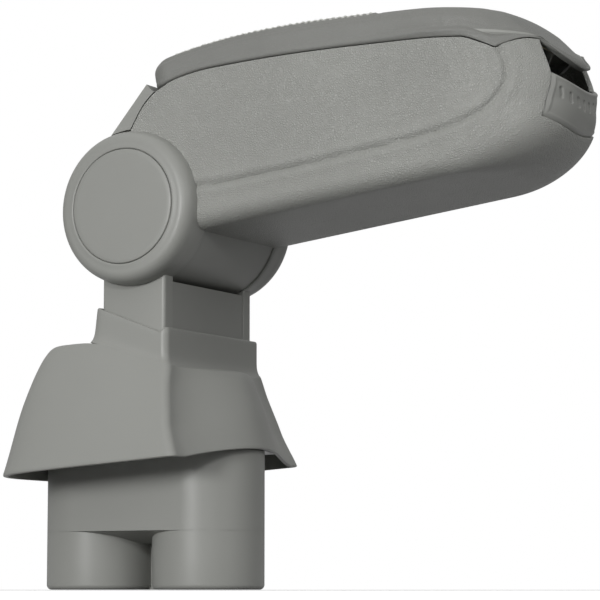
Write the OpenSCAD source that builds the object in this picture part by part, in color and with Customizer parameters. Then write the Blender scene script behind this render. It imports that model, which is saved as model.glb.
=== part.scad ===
// Car centre armrest: a plug for two cup holders, a hood, a post with a round friction
// hinge, and a storage box with a padded lid and a front latch.
// The foot's underside is the origin. X runs forward along the arm, Z is up.

/* [Plug] */
// Radius of each cup lobe
cup_r = 34; // [30:0.5:40]
// Distance between the lobes' centres
cup_pitch = 76.5; // [74:0.5:84]
// Height of the plug
plug_h = 84; // [70:1:90]
// Height of the shelf above the valley between the lobes
shelf_z = 35; // [25:1:50]
// How far the shelf's underside drops on its way in
shelf_drop = 7; // [3:0.5:12]
// Half thickness of the web between the lobes
web_half = 9; // [6:0.5:14]
// Wall of the plug
plug_wall = 2.6; // [2:0.1:4]
// How far the plug's neck is stepped in under the hood
neck_in = 3; // [2.5:0.5:5]
// Edge radius of the plug's foot
foot_round = 4.5; // [2:0.5:7]

/* [Hood] */
// Half length of the hood's lower edge
hood_half_l = 77; // [76:0.5:84]
// Half width of the hood's lower edge
hood_half_w = 72.5; // [70:0.5:80]
// Height of the lower edge under the post's side
hood_edge_z = 73.6; // [70:0.2:76]
// Rise of the lower edge for each millimetre forward
hood_edge_slope = 0.068; // [0.02:0.002:0.08]
// Height of the arch in the middle of the front edge
hood_arch = 6; // [2:0.5:8]
// Height of the shoulder behind the collar
shoulder_rear_z = 147; // [140:0.5:152]
// Height of the shoulder in front of the collar
shoulder_front_z = 131.5; // [126:0.5:136]
// Wall of the hood
hood_wall = 2.6; // [2:0.1:3]

/* [Collar] */
// Gap between the post and the collar
collar_gap = 1.2; // [0.6:0.1:2]
// Height of the collar's rear edge
collar_rear_z = 169; // [160:0.5:174]
// Height of the low point at the collar's side
collar_low_z = 151.5; // [148:0.5:156]
// Height of the collar's front edge
collar_front_z = 154.5; // [152:0.5:158]

/* [Post] */
// Height of the hinge axis above the plug's foot
axis_z = 227; // [220:1:240]
// Distance of the hinge axis forward of the plug's centre
axis_x = 16; // [12:0.5:18]
// Half depth of the post, front to back
post_half_d = 22; // [20:0.5:23]
// How far each side cover stands out past the barrel
cover_depth = 10; // [9:0.5:12]
// Wall of the covers
cover_wall = 3; // [2:0.2:3.2]
// Seam between neighbouring covers
seam = 0.4; // [0.3:0.1:0.6]

/* [Hinge] */
// Radius of the round hinge housings
disc_r = 47; // [46:0.5:49]
// How far each housing stands out past the barrel
housing_depth = 24; // [23:0.5:27]
// Radius of the round caps
cap_r = 34.4; // [30:0.2:36]
// Thickness of the round caps
cap_t = 2.4; // [1.6:0.1:3]
// Radius of the barrel between the housings
barrel_r = 46; // [44:0.5:46]
// Half length of the barrel
barrel_half = 41; // [39:0.5:41]
// Radius of the axle
axle_r = 5; // [4:0.5:6]
// Running clearance of the axle in its bushes
axle_play = 0.05; // [0.02:0.01:0.1]
// Thickness of the steel bracket
bracket_t = 4; // [3:0.5:4]
// Width of the bracket's cheeks
bracket_w = 30; // [24:1:32]
// Thickness of each friction disc
friction_t = 1.8; // [1:0.1:1.9]
// Height of the nested spring washers
springs_h = 2.7; // [2.7:0.1:3.5]

/* [Arm] */
// Upward tilt of the arm at its lowest stop
arm_tilt = 7; // [3:0.5:10]
// How far the arm swings up from its lowest stop
arm_swing = 95; // [60:1:100]
// Half width of the box
box_half_w = 54; // [53:0.5:56]
// Distance from the hinge axis to where the nose starts
nose_start = 205; // [195:1:215]
// Length of the rounded nose
nose_len = 70; // [64:1:76]
// Depth of the box's floor below the hinge axis
floor_z = -20.5; // [-22:0.5:-19]
// Radius of the box's lower edges
edge_round = 10; // [7:0.5:13]
// Wall of the box
shell_wall = 2.8; // [2:0.1:3.2]
// Clearance between the box's rear edge and the housings
arc_gap = 1.2; // [0.8:0.1:2]
// Distance of the nose opening from the box's sides
pillar_w = 22.5; // [21:0.5:26]
// How far the nose opening widens towards its lower edge
mouth_splay = 3.4; // [0:0.2:4]

/* [Lid] */
// Gap between the lid and the box
lid_gap = 0.8; // [0.8:0.1:2]
// Thickness of the leatherette
cover_t = 1.4; // [1:0.1:2]
// Rise of the lid's top from its edge to its middle
lid_crown = 2.5; // [0:0.5:4]
// Thickness of the lid's base
base_t = 2.8; // [2:0.1:3.5]
// Radius of the lid's hinge pin
lid_pin_r = 1.6; // [1.2:0.1:1.8]
// How far the front lip dips below the lid's edge
lip_dip = 14; // [8:0.5:15]

/* [Latch] */
// Height of the latch at its sides
latch_h = 25; // [20:0.5:26]
// How far the latch's edges dip in the middle
latch_dip = 8; // [2:0.5:9]
// Number of grip slots
slot_count = 8; // [4:2:10]
// Distance of the outermost slots from the latch's ends
slot_margin = 5.625; // [4:0.125:9]
// Height of each grip slot
slot_h = 6; // [4:0.5:8]

/* [Hidden] */
$fn = 64;

grey = [0.60, 0.60, 0.585];
dark_grey = [0.42, 0.42, 0.41];
steel = [0.70, 0.71, 0.72];
eps = 0.01;

// Deck and bracket
deck_t = 3;
deck_top = plug_h + deck_t;
cheek_in = barrel_half + 2;
cheek_out = cheek_in + bracket_t;
inner_edge = barrel_half + 0.6;
// Post and housings over the barrel's ends
post_half_w = barrel_half + cover_depth;
disc_half_w = barrel_half + housing_depth;
// Nose opening, latch and tray across the box
mouth_half = box_half_w - pillar_w;
latch_half = mouth_half - 0.5;
slot_pitch = 2 * (latch_half - slot_margin) / (slot_count - 1);
tray_half = box_half_w - 15;
pin_half = tray_half - 3;
ear_in = tray_half - 15;
ear_out = tray_half - 9;

// Box stations: shares of the straight side, then angles round half of the nose
side_u = [0, 0.025, 0.055, 0.085, 0.12, 0.17, 0.24, 0.36, 0.50, 0.64, 0.78, 0.90];
nose_t = [-86, -81, -75, -69, -64, -60, -56, -51, -45, -38, -30, -22, -14, -5];
nose_n = 2.4;

function mix(a, b, k) = a + (b - a) * k;
function ramp(x, a, b) = let (k = min(1, max(0, (x - a) / (b - a)))) k * k * (3 - 2 * k);
function spow(v, e) = sign(v) * pow(abs(v), e);
function seg(p, x, i = 0) = i >= len(p) - 2 || x < p[i + 1][0] ? i : seg(p, x, i + 1);
// Smooth curve through the points p, read at x
function curve(p, x) =
    let (i = seg(p, x), a = p[max(i - 1, 0)], b = p[i], c = p[i + 1],
         d = p[min(i + 2, len(p) - 1)], h = c[0] - b[0], k = min(1, max(0, (x - b[0]) / h)),
         ma = (c[1] - a[1]) / (c[0] - a[0]) * h, mb = (d[1] - b[1]) / (d[0] - b[0]) * h)
    (2 * k * k * k - 3 * k * k + 1) * b[1] + (k * k * k - 2 * k * k + k) * ma
    + (3 * k * k - 2 * k * k * k) * c[1] + (k * k * k - k * k) * mb;

// Closed skin through rings of equal count, each counterclockwise from above.
// A looped skin joins its last ring to its first; else mirrored strips close both ends.
module skin(rings, loop = false) {
    n = len(rings[0]);
    m = len(rings);
    walls = [for (j = [0:m - (loop ? 1 : 2)], i = [0:n - 1])
        let (a = j * n + i, b = j * n + (i + 1) % n, k = ((j + 1) % m) * n,
             c = k + (i + 1) % n, d = k + i) each [[a, c, b], [a, d, c]]];
    ends = loop ? [] : [for (i = [0:n / 2 - 2])
        let (e = (m - 1) * n) each [
            [i, i + 1, n - 2 - i], [i, n - 2 - i, n - 1 - i],
            [e + i, e + n - 2 - i, e + i + 1], [e + i, e + n - 1 - i, e + n - 2 - i]]];
    polyhedron([for (r = rings) each r], concat(walls, ends));
}

module arm_frame() translate([axis_x, 0, axis_z]) rotate([0, -arm_tilt, 0]) children();
module both_sides() { children(); mirror([0, 1, 0]) children(); }
// A cylinder along Y from y0 to y1
module rod(r, y0, y1, fn = 64) translate([0, y1, 0]) rotate([90, 0, 0])
    cylinder(r = r, h = y1 - y0, $fn = fn);
// A profile in X and Z carried along Y from y0 to y1
module slab(y0, y1) translate([0, y1, 0]) rotate([90, 0, 0])
    linear_extrude(y1 - y0) children();

// Plug

module lobe(r, h, round) rotate_extrude($fn = 96)
    polygon(concat([[0, 0], [r - round, 0]],
        [for (a = [-75:15:0]) [r - round + round * cos(a), round + round * sin(a)]],
        [[r, h], [0, h]]));
module cup_row(r, half, h) {
    for (s = [-1, 1]) translate([s * cup_pitch / 2, 0, 0]) cylinder(r = r, h = h, $fn = 96);
    translate([-cup_pitch / 2, -half, 0]) cube([cup_pitch, 2 * half, h]);
}
boss_r = 4.4;
boss_h = 16;
boss_out = cup_r - neck_in - boss_r;
boss_at = [for (sx = [-1, 1], sy = [-1, 1])
    [sx * (cup_pitch / 2 + boss_out * cos(42)), sy * boss_out * sin(42)]];
// Height of the step from the plug to its neck
neck_z = hood_edge_z - 8;
neck_r = cup_r - neck_in;
// How far out screw heads under the deck stay clear of the neck's wall
head_line = neck_r - plug_wall - 4;

module cup_plug() color(grey) difference() {
    union() {
        difference() {
            union() {
                for (s = [-1, 1]) translate([s * cup_pitch / 2, 0, 0])
                    lobe(cup_r, shelf_z + 1, foot_round);
                translate([-cup_pitch / 2, -web_half, 0]) cube([cup_pitch, 2 * web_half, shelf_z + 1]);
                translate([0, 0, shelf_z]) cup_row(cup_r, cup_r, neck_z - shelf_z);
                translate([0, 0, neck_z - 1]) cup_row(neck_r, neck_r, plug_h - neck_z + 1);
                // The shelf's underside slopes down to the web
                both_sides() translate([-cup_pitch / 2, 0, 0]) rotate([90, 0, 90])
                    linear_extrude(cup_pitch)
                    polygon([[web_half, shelf_z + eps], [cup_r, shelf_z + eps], [cup_r, shelf_z],
                             [web_half, shelf_z - shelf_drop]]);
            }
            translate([0, 0, plug_wall + 0.6])
                cup_row(cup_r - plug_wall, web_half - plug_wall, neck_z - 2 * plug_wall - 0.6);
            translate([0, 0, shelf_z + plug_wall])
                cup_row(cup_r - plug_wall, cup_r - plug_wall, neck_z - shelf_z - 2 * plug_wall);
            translate([0, 0, shelf_z + plug_wall]) cup_row(neck_r - plug_wall, neck_r - plug_wall, plug_h);
        }
        for (p = boss_at) translate([p[0], p[1], plug_h - boss_h]) cylinder(r = boss_r, h = boss_h);
    }
    for (p = boss_at) translate([p[0], p[1], plug_h - 14]) cylinder(r = 1.6, h = 15, $fn = 32);
}

// Hood

hood_front = hood_half_l;
collar_half_d = post_half_d + collar_gap + hood_wall;
collar_half_w = post_half_w + collar_gap + hood_wall;
// Share of height against share of the way in, from the lower edge to the collar's foot
hood_profile = [[0, 0], [0.10, 0.035], [0.35, 0.115], [0.50, 0.17], [0.65, 0.24], [0.80, 0.32],
                [0.92, 0.405], [0.985, 0.50], [1, 0.68], [1.01, 0.93]];
hood_q = [3, 12, 21, 30, 38, 46, 54, 62, 70, 78, 84, 88.5];
hood_angles = [for (q = [0:3], i = [0:11])
    q * 90 - 90 + (q % 2 == 0 ? hood_q[i] : 90 - hood_q[11 - i])];

function hood_edge(x, y) = hood_edge_z + hood_edge_slope * (x - axis_x)
    + hood_arch * (1 - pow(min(1, abs(y) / (0.86 * hood_half_w)), 2))
        * ramp(x, 0.55 * hood_front, 0.8 * hood_front);
function shoulder(x) = mix(shoulder_rear_z, shoulder_front_z,
    ramp(x, axis_x - collar_half_d - 6, axis_x + collar_half_d + 6));
// One ring of the hood: k is a point of the profile, t how far the wall is set in
function hood_ring(k, t) = let (f = k[0], g = k[1], n = 5 + 3.5 * f * f,
        xf = mix(hood_front, axis_x + collar_half_d, g) - t,
        xr = mix(-hood_half_l, axis_x - collar_half_d, g) + t,
        b = mix(hood_half_w, collar_half_w + 1.5, min(1, f)) - t - max(0, g - 0.74) * 6,
        c = (xf + xr) / 2, a = (xf - xr) / 2)
    [for (q = hood_angles) let (x = c + a * spow(cos(q), 2 / n), y = b * spow(sin(q), 2 / n))
        [x, y, mix(hood_edge(x, y), shoulder(x), min(f, 1)) - t * f]];
function collar_top(x) = mix(collar_rear_z, collar_low_z,
        min(1, max(0, (x - axis_x + collar_half_d) / (2 * collar_half_d - 5))))
    + (collar_front_z - collar_low_z)
        * ramp(x, axis_x + collar_half_d - 6, axis_x + collar_half_d - 0.5);
// One ring of the collar at share k of its height
function collar_ring(k, t, flare, n = 14) = let (a = collar_half_d - t + flare,
        b = collar_half_w - t + flare * 0.6, back = 2.5 * (1 - k))
    [for (q = hood_angles) let (x = axis_x + a * spow(cos(q), 2 / n) - (cos(q) < 0 ? back : 0),
            y = b * spow(sin(q), 2 / n))
        [x, y, mix(shoulder(x) - t, collar_top(x), k)]];
hood_post_at = [for (sx = [-1, 1], sy = [-1, 1])
    [axis_x + (sx < 0 ? -collar_half_d - 15 : collar_half_d + 8), sy * (head_line - 4)]];

module skirt_shroud() color(grey) difference() {
    union() {
        skin(concat(
            [for (k = hood_profile) hood_ring(k, 0)],
            [collar_ring(0.10, 0, 0.6), collar_ring(0.35, 0, 0), collar_ring(0.94, 0, 0),
             collar_ring(1, 0, -0.7), collar_ring(1, hood_wall, 0, 24), collar_ring(0, hood_wall, 0, 24)],
            [for (i = [8, 7, 5, 3, 1, 0]) hood_ring(hood_profile[i], hood_wall)]),
            loop = true);
        for (p = hood_post_at) translate([p[0], p[1], deck_top])
            cylinder(r = 4.5, h = shoulder(p[0]) - deck_top - hood_wall / 2, $fn = 32);
    }
    for (p = hood_post_at) translate([p[0], p[1], deck_top - 1]) cylinder(r = 1.6, h = 15, $fn = 32);
}

// Deck, bracket and their fasteners

deck_half_l = hood_half_l - 11;
deck_half_w = hood_half_w - 11;
deck_bolt_at = [for (sx = [-1, 1], sy = [-1, 1]) [axis_x + sx * 9, sy * (head_line - 1)]];
deck_bolt_r = 3;

module deck_plate() color(steel) difference() {
    translate([0, 0, plug_h]) linear_extrude(deck_t) {
        square([2 * deck_half_l - 40, 2 * deck_half_w], center = true);
        square([2 * deck_half_l, 2 * deck_half_w - 40], center = true);
        for (sx = [-1, 1], sy = [-1, 1]) translate([sx * (deck_half_l - 20), sy * (deck_half_w - 20)])
            circle(r = 20);
    }
    for (p = concat(boss_at, hood_post_at)) translate([p[0], p[1], plug_h - 1])
        cylinder(r = 2, h = deck_t + 2, $fn = 32);
    for (p = deck_bolt_at) translate([p[0], p[1], plug_h - 1])
        cylinder(r = deck_bolt_r + 0.1, h = deck_t + 2, $fn = 32);
}

// Two stop pins in the cheeks, each in an arc slot of the barrel's end wall
stop_r = 2.5;
stop_at = 21;
module support_bracket() color(steel) difference() {
    union() {
        translate([axis_x - bracket_w / 2, -cheek_out, deck_top])
            cube([bracket_w, 2 * cheek_out, bracket_t]);
        both_sides() {
            translate([axis_x - bracket_w / 2, cheek_in, deck_top])
                cube([bracket_w, bracket_t, axis_z - deck_top]);
            translate([axis_x, 0, axis_z]) rod(bracket_w / 2, cheek_in, cheek_out);
        }
    }
    translate([axis_x, 0, axis_z]) rod(axle_r + 0.05, -cheek_out - 1, cheek_out + 1);
    translate([axis_x, 0, axis_z - stop_at]) rod(stop_r, -cheek_out - 1, cheek_out + 1, 48);
    for (p = deck_bolt_at) translate([p[0], p[1], deck_top - 1])
        cylinder(r = deck_bolt_r + 0.1, h = bracket_t + 2, $fn = 32);
    for (p = cover_screw_at) translate([p[0], 0, p[1]]) rod(1.6, -cheek_out - 1, cheek_out + 1, 32);
}

module deck_bolts() color(steel) for (p = deck_bolt_at) translate([p[0], p[1], plug_h - 9]) {
    cylinder(r = deck_bolt_r, h = 9 + deck_t + bracket_t, $fn = 32);
    translate([0, 0, 9 + deck_t + bracket_t]) cylinder(r = 5.2, h = 4, $fn = 6);
}
module deck_nuts() color(steel) for (p = deck_bolt_at) translate([p[0], p[1], plug_h - 5]) difference() {
    cylinder(r = 5.2, h = 5, $fn = 6);
    translate([0, 0, -1]) cylinder(r = deck_bolt_r, h = 7, $fn = 32);
}
// A pan-head screw, head outward along +Z at the origin, with its shank below
module screw(shank_r, len, head_r, head_h) {
    translate([0, 0, -len]) cylinder(r = shank_r, h = len, $fn = 24);
    rotate_extrude($fn = 32)
        polygon([[0, 0], [head_r, 0], [head_r * 0.9, head_h * 0.7], [head_r * 0.5, head_h], [0, head_h]]);
}
module plug_screws() color(steel) for (p = boss_at) translate([p[0], p[1], deck_top])
    screw(1.6, 15, 3.6, 2.2);
module skirt_screws() color(steel) for (p = hood_post_at) translate([p[0], p[1], plug_h])
    mirror([0, 0, 1]) screw(1.6, 14, 3.6, 2.2);

// Post covers

cover_screw_at = [[axis_x, deck_top + 30]];

module disc_outer() rotate([-90, 0, 0]) rotate_extrude($fn = 128)
    polygon(concat([[0, inner_edge], [disc_r, inner_edge], [disc_r, disc_half_w - 13]],
        [for (a = [10:10:80]) [disc_r - 9 + 9 * cos(a), disc_half_w - 13.5 + 12.8 * sin(a)]],
        [[disc_r - 9, disc_half_w - 0.7], [cap_r + 1.6, disc_half_w - 0.2],
         [cap_r + 0.9, disc_half_w - 0.4], [cap_r + 0.5, disc_half_w - 1], [0, disc_half_w - 1]]));
module disc_inner() rotate([-90, 0, 0]) rotate_extrude($fn = 128)
    polygon([[0, inner_edge - 2], [disc_r - cover_wall, inner_edge - 2],
             [disc_r - cover_wall, disc_half_w - 14], [disc_r - cover_wall - 3, disc_half_w - 7],
             [cap_r + 0.2, disc_half_w - cap_t - 3], [0, disc_half_w - cap_t - 3]]);
module post_cover_right() color(grey) difference() {
    union() {
        translate([axis_x, 0, axis_z]) mirror([0, 1, 0]) disc_outer();
        translate([axis_x - post_half_d, -post_half_w, deck_top])
            cube([2 * post_half_d, post_half_w - inner_edge, axis_z - 20 - deck_top]);
    }
    translate([axis_x, 0, axis_z]) mirror([0, 1, 0]) disc_inner();
    // Seat and opening of the cap
    translate([axis_x, 0, axis_z]) {
        rod(cap_r + 0.2, -disc_half_w - 1, -disc_half_w + cap_t, 128);
        rod(cap_r - 8, -disc_half_w - 1, -disc_half_w + 12, 96);
    }
    difference() {
        translate([axis_x - post_half_d + cover_wall, -post_half_w + cover_wall, deck_top - 1])
            cube([2 * (post_half_d - cover_wall), 20, axis_z - 20 - deck_top]);
        // Boss that rests on the bracket's cheek
        for (p = cover_screw_at) translate([p[0], 0, p[1]]) rod(5, -post_half_w, -cheek_out, 48);
    }
    for (p = cover_screw_at) translate([p[0], 0, p[1]]) rod(1.5, -post_half_w - 1, -cheek_out + 1, 32);
}
module post_cover_left() mirror([0, 1, 0]) post_cover_right();
module hub_cap_right() color(grey) translate([axis_x, 0, axis_z]) difference() {
    union() {
        rod(cap_r, -disc_half_w, -disc_half_w + cap_t, 128);
        rod(cap_r - 8.2, -disc_half_w + cap_t - eps, -disc_half_w + cap_t + 5, 96);
    }
    rod(cap_r - 10, -disc_half_w + cap_t, -disc_half_w + 12, 96);
}
module hub_cap_left() mirror([0, 1, 0]) hub_cap_right();

panel_top = axis_z - 44.2;
module panel() {
    translate([axis_x + post_half_d - cover_wall + 0.3, -inner_edge + seam, deck_top])
        cube([cover_wall - 0.8, 2 * (inner_edge - seam), panel_top - deck_top]);
    // Lips that hook behind the covers' front edges
    lip_z = deck_top + bracket_t + 1;
    both_sides() translate([axis_x + post_half_d - cover_wall - 2, inner_edge - 4, lip_z]) {
        cube([2, 6.5, panel_top - lip_z - 2]);
        cube([2.6, 3.4, panel_top - lip_z - 2]);
    }
}
module post_panel_front() color(dark_grey) panel();
module post_panel_rear() color(dark_grey) translate([2 * axis_x, 0, 0]) mirror([1, 0, 0]) panel();
module cover_screws() color(steel) for (s = [-1, 1], p = cover_screw_at)
    translate([p[0], s * post_half_w, p[1]]) rotate([-90 * s, 0, 0])
        screw(1.5, post_half_w - cheek_in - 0.5, 3.2, 1.8);

// Hinge stack along the axle

module axle_bolt() color(steel) translate([axis_x, 0, axis_z]) {
    rod(axle_r, -cheek_out - 4, cheek_out + springs_h + 9);
    rod(8.5, -cheek_out - 8, -cheek_out - 1.5, 6);
}
module ring(r_out, r_in, y0, y1) difference() {
    rod(r_out, y0, y1);
    rod(r_in, y0 - 1, y1 + 1);
}
module axle_washers() color(steel) translate([axis_x, 0, axis_z]) {
    ring(11, axle_r + 0.1, -cheek_out - 1.5, -cheek_out);
    ring(11, axle_r + 0.1, cheek_out + springs_h, cheek_out + springs_h + 1.5);
}
// Three cupped spring washers nested on each other
module disc_springs() color(steel) translate([axis_x, 0, axis_z]) rotate([-90, 0, 0])
    for (i = [0:2]) translate([0, 0, cheek_out + i * springs_h / 4.5]) rotate_extrude($fn = 64)
        polygon([[axle_r + 0.2, springs_h / 3], [10.5, 0], [10.5, springs_h / 4.5],
                 [axle_r + 0.2, springs_h / 1.8]]);
module axle_nut() color(steel) translate([axis_x, 0, axis_z]) difference() {
    rod(8.5, cheek_out + springs_h + 1.5, cheek_out + springs_h + 7.5, 6);
    rod(axle_r, cheek_out + springs_h, cheek_out + springs_h + 9);
}
module friction_discs() color([0.25, 0.22, 0.2]) translate([axis_x, 0, axis_z])
    for (s = [-1, 1]) ring(16, axle_r + 0.3, min(s * cheek_in, s * (cheek_in - friction_t)),
        max(s * cheek_in, s * (cheek_in - friction_t)));
module travel_stops() color(steel) translate([axis_x, 0, axis_z - stop_at]) both_sides()
    rod(stop_r, barrel_half - 3.5, cheek_out, 48);
bush_r = 8;
module hub_bushes() color([0.85, 0.84, 0.8]) arm_frame() both_sides()
    difference() {
        rod(bush_r, barrel_half - 14, barrel_half);
        rod(axle_r + axle_play, barrel_half - 15, barrel_half + 1);
    }

// Arm hub: barrel, rear wall and the plate that carries the box

// Where the box's rear edge runs, from the housing up to the lid
rim_pts = [[-9, 30], [4, 46.5], [15.7, 60.8], [28.1, 68.6], [50.7, 72.3], [77, 71.7], [125, 67.9],
           [198.5, 58.9], [222, 55], [245, 51], [262, 48.6], [277, 46]];
notch_x = nose_start + nose_len * pow(cos(60), 2 / nose_n);
notch_depth = 6.4;
notch_half = 18;
function rim(x, cut = notch_depth) = curve(rim_pts, x)
    - cut * pow(max(0, 1 - abs(x - notch_x) / notch_half), 1.4);
plate_z = floor_z + shell_wall + 2.5;
plate_t = 3;
plate_end = 118;
plate_half = tray_half + 1.5;
gusset_y = barrel_half - 0.5;
screw_at = [for (x = [plate_end - 46, plate_end - 10], s = [-1, 1]) [x, s * (tray_half - 9)]];

function turned(a) = [cos(a), sin(a)];

module arm_hub() color(grey) arm_frame() difference() {
    union() {
        rod(barrel_r, -barrel_half, barrel_half, 128);
        // Wall behind the box: its outer line rises forward, its inner line follows the box's rear edge
        slab(-box_half_w + 1, box_half_w - 1) polygon(concat([[-10.5, 46.6], [18.6, 72.9], [21.5, 68.6]],
            [for (x = [24:-2.5:4]) [x - 0.8, rim(x) + 0.5]], [[4, 44]]));
        // Plate under the tray, and gussets to the barrel
        translate([30, -plate_half, plate_z]) cube([plate_end - 30, 2 * plate_half, plate_t]);
        both_sides() slab(gusset_y - 3, gusset_y)
            polygon([[40, plate_z], [56, plate_z], [56, plate_z + 4], [46, 10], [38, 10]]);
    }
    // Hollow barrel with end walls, a bush tube and webs
    difference() {
        rod(barrel_r - 3, -barrel_half + 4, barrel_half - 4, 128);
        rod(bush_r + 3, -barrel_half, barrel_half);
        for (a = [30:60:330]) rotate([0, a, 0]) translate([0, -barrel_half, -1.2])
            cube([barrel_r - 2, 2 * barrel_half, 2.4]);
    }
    rod(bush_r, -barrel_half - 1, barrel_half + 1);
    // Arc slots of the stop pins: the pin rests on one end with the arm down
    for (s = [-1, 1]) translate([0, s * (barrel_half - 2), 0]) rotate([90, 0, 0])
        linear_extrude(4.4, center = true) rotate(-90 - arm_tilt) {
            for (a = [0, -arm_swing - 3]) rotate(a) translate([stop_at, 0]) circle(r = stop_r + 0.04);
            polygon(concat(
                [for (i = [0:24]) (stop_at + stop_r + 0.04) * turned(-i * (arm_swing + 3) / 24)],
                [for (i = [24:-1:0]) (stop_at - stop_r - 0.04) * turned(-i * (arm_swing + 3) / 24)]));
        }
    // Clear of the housings
    both_sides() rod(disc_r + arc_gap, barrel_half + eps, box_half_w + 5, 128);
    for (p = screw_at) translate([p[0], p[1], plate_z - 1]) cylinder(r = 1.5, h = plate_t + 2, $fn = 32);
}

// Box

box_rear = 4;
nose_mid = 12;
// How far the nose reaches at each height, against its length
nose_reach = [[-5, 1], [12, 1.01], [20, 1.035], [28, 1.04], [36, 1.015], [43, 0.985], [48, 0.97],
              [54, 0.965], [62, 0.975], [75, 1], [90, 1]];
function reach(z) = curve(nose_reach, z);
// A ring of the box's outline. half is its half width, len its nose length, xr its rear end,
// corner the radius of its rear corners, and zf gives the height of a point
function box_ring(half, len, xr, corner, zf) =
    let (side = [for (u = side_u) let (x = mix(xr, nose_start, u), d = max(0, corner - (x - xr)))
            [x, half - corner + sqrt(max(0, corner * corner - d * d))]],
         nose = [for (t = nose_t)
            [nose_start + len * pow(cos(t), 2 / nose_n), half * pow(abs(sin(t)), 2 / nose_n)]],
         edge = concat(side, nose), n = len(edge))
    concat([for (p = edge) [p[0], -p[1], zf(p[0], p[1])]],
           [for (i = [n - 1:-1:0]) [edge[i][0], edge[i][1], zf(edge[i][0], edge[i][1])]]);
function leaned(ring) = [for (p = ring)
    [p[0] <= nose_start ? p[0] : nose_start + (p[0] - nose_start) * reach(p[2]), p[1], p[2]]];
// Share of the way round the nose, 0 along the sides and 1 at the tip
function tip(x, len) = ramp(x, nose_start, nose_start + len);
flat_len = 18;
// Ring of the rounded underside at angle a, set in by t
function under_ring(a, t) = let (r = edge_round, l = mix(flat_len, nose_len, pow(cos(a), 0.9)) - t)
    box_ring(box_half_w - r * (1 - cos(a)) - t, l, box_rear + t, 0, function (x, y)
        let (k = sqrt(tip(x, l)), s = sin(a))
        mix(floor_z + r * (1 - s), mix(nose_mid, floor_z, s), k) + t * s);
function wall_ring(k, t) = leaned(box_ring(box_half_w - t, nose_len - t, box_rear + t, 0,
    function (x, y) mix(mix(floor_z + edge_round, nose_mid, sqrt(tip(x, nose_len - t))), rim(x), k)));

mouth_low = 3.5;
latch_low_side = mouth_low + 0.6;
latch_top_side = mouth_low + latch_h;
// How much wider the opening is at height z than at the latch's top
function splay(z) = mouth_splay
    * pow(1 - min(1, max(0, (z - latch_low_side) / (latch_top_side - latch_low_side))), 1.3);
function mouth_end(i) = let (z = mix(latch_low_side, latch_top_side, i / 5)) [mouth_half + splay(z), z];
// Profile of the nose opening in Y and Z; its lower edge dips like the latch
module mouth(high) polygon(concat(
    [for (i = [-8:8]) [(mouth_half + mouth_splay) * i / 8, mouth_low - latch_dip * (1 - pow(i / 8, 2))]],
    [for (i = [1:5]) mouth_end(i)],
    [[mouth_half, high], [-mouth_half, high]],
    [for (i = [5:-1:1]) [-mouth_end(i)[0], mouth_end(i)[1]]]));
module along_x(x0, x1) translate([x0, 0, 0]) rotate([90, 0, 90]) linear_extrude(x1 - x0) children();
latch_x = nose_start + nose_len - 24;
latch_z = 0;
// Share of the nose's section that the rounded underside takes away at height z
function undercut(z) = z < nose_mid ? pow((nose_mid - z) / (nose_mid - floor_z), 2.2) : 0;
// Where the nose's skin, set in by t, stands at y and z, and at x and z
function nose_x(y, z, t) = nose_start + (nose_len - t) * reach(z)
    * pow(max(0, 1 - pow(abs(y) / (box_half_w - t), nose_n) - undercut(z)), 1 / nose_n);
function nose_y(x, z, t) = (box_half_w - t)
    * pow(max(0, 1 - pow((x - nose_start) / (nose_len - t), nose_n) - undercut(z)), 1 / nose_n);

lug_r = 4;
pin_reach = mouth_half + 4;

module arm_shell() color(grey) arm_frame() difference() {
    union() {
        skin(concat(
            [for (a = [90, 68, 45, 22]) under_ring(a, 0)],
            [for (k = [0, 0.3, 0.65, 1]) wall_ring(k, 0)],
            [for (k = [1, 0.5, 0]) wall_ring(k, shell_wall)],
            [for (a = [30, 60, 90]) under_ring(a, shell_wall)]));
        // Pillars for the hub's plate
        for (p = screw_at) translate([p[0], p[1], floor_z + 1])
            cylinder(r = 4.5, h = plate_z - floor_z - 1);
        // Lugs that hold the latch's pin
        both_sides() for (z = [latch_z - lug_r, latch_z])
            translate([latch_x, 0, z]) linear_extrude(lug_r + eps) polygon(concat(
                [[lug_r, mouth_half + 0.6]],
                [for (x = [lug_r, 0, -lug_r]) [x, nose_y(latch_x + x, z, shell_wall / 2)]],
                [[-lug_r, mouth_half + 0.6]]));
    }
    rod(disc_r + arc_gap, -box_half_w - 5, box_half_w + 5, 128);
    along_x(nose_start + nose_len - 48, nose_start + nose_len + 10) mouth(60);
    for (p = screw_at) translate([p[0], p[1], floor_z + 1.5]) cylinder(r = 1.5, h = 12, $fn = 32);
    translate([latch_x, 0, latch_z]) rod(1.5, -pin_reach - 0.2, pin_reach + 0.2, 32);
}

// Inner tray of the box

tray_rear = 60;
tray_nose = nose_len - 40;
tray_floor = plate_z + plate_t;
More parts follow.
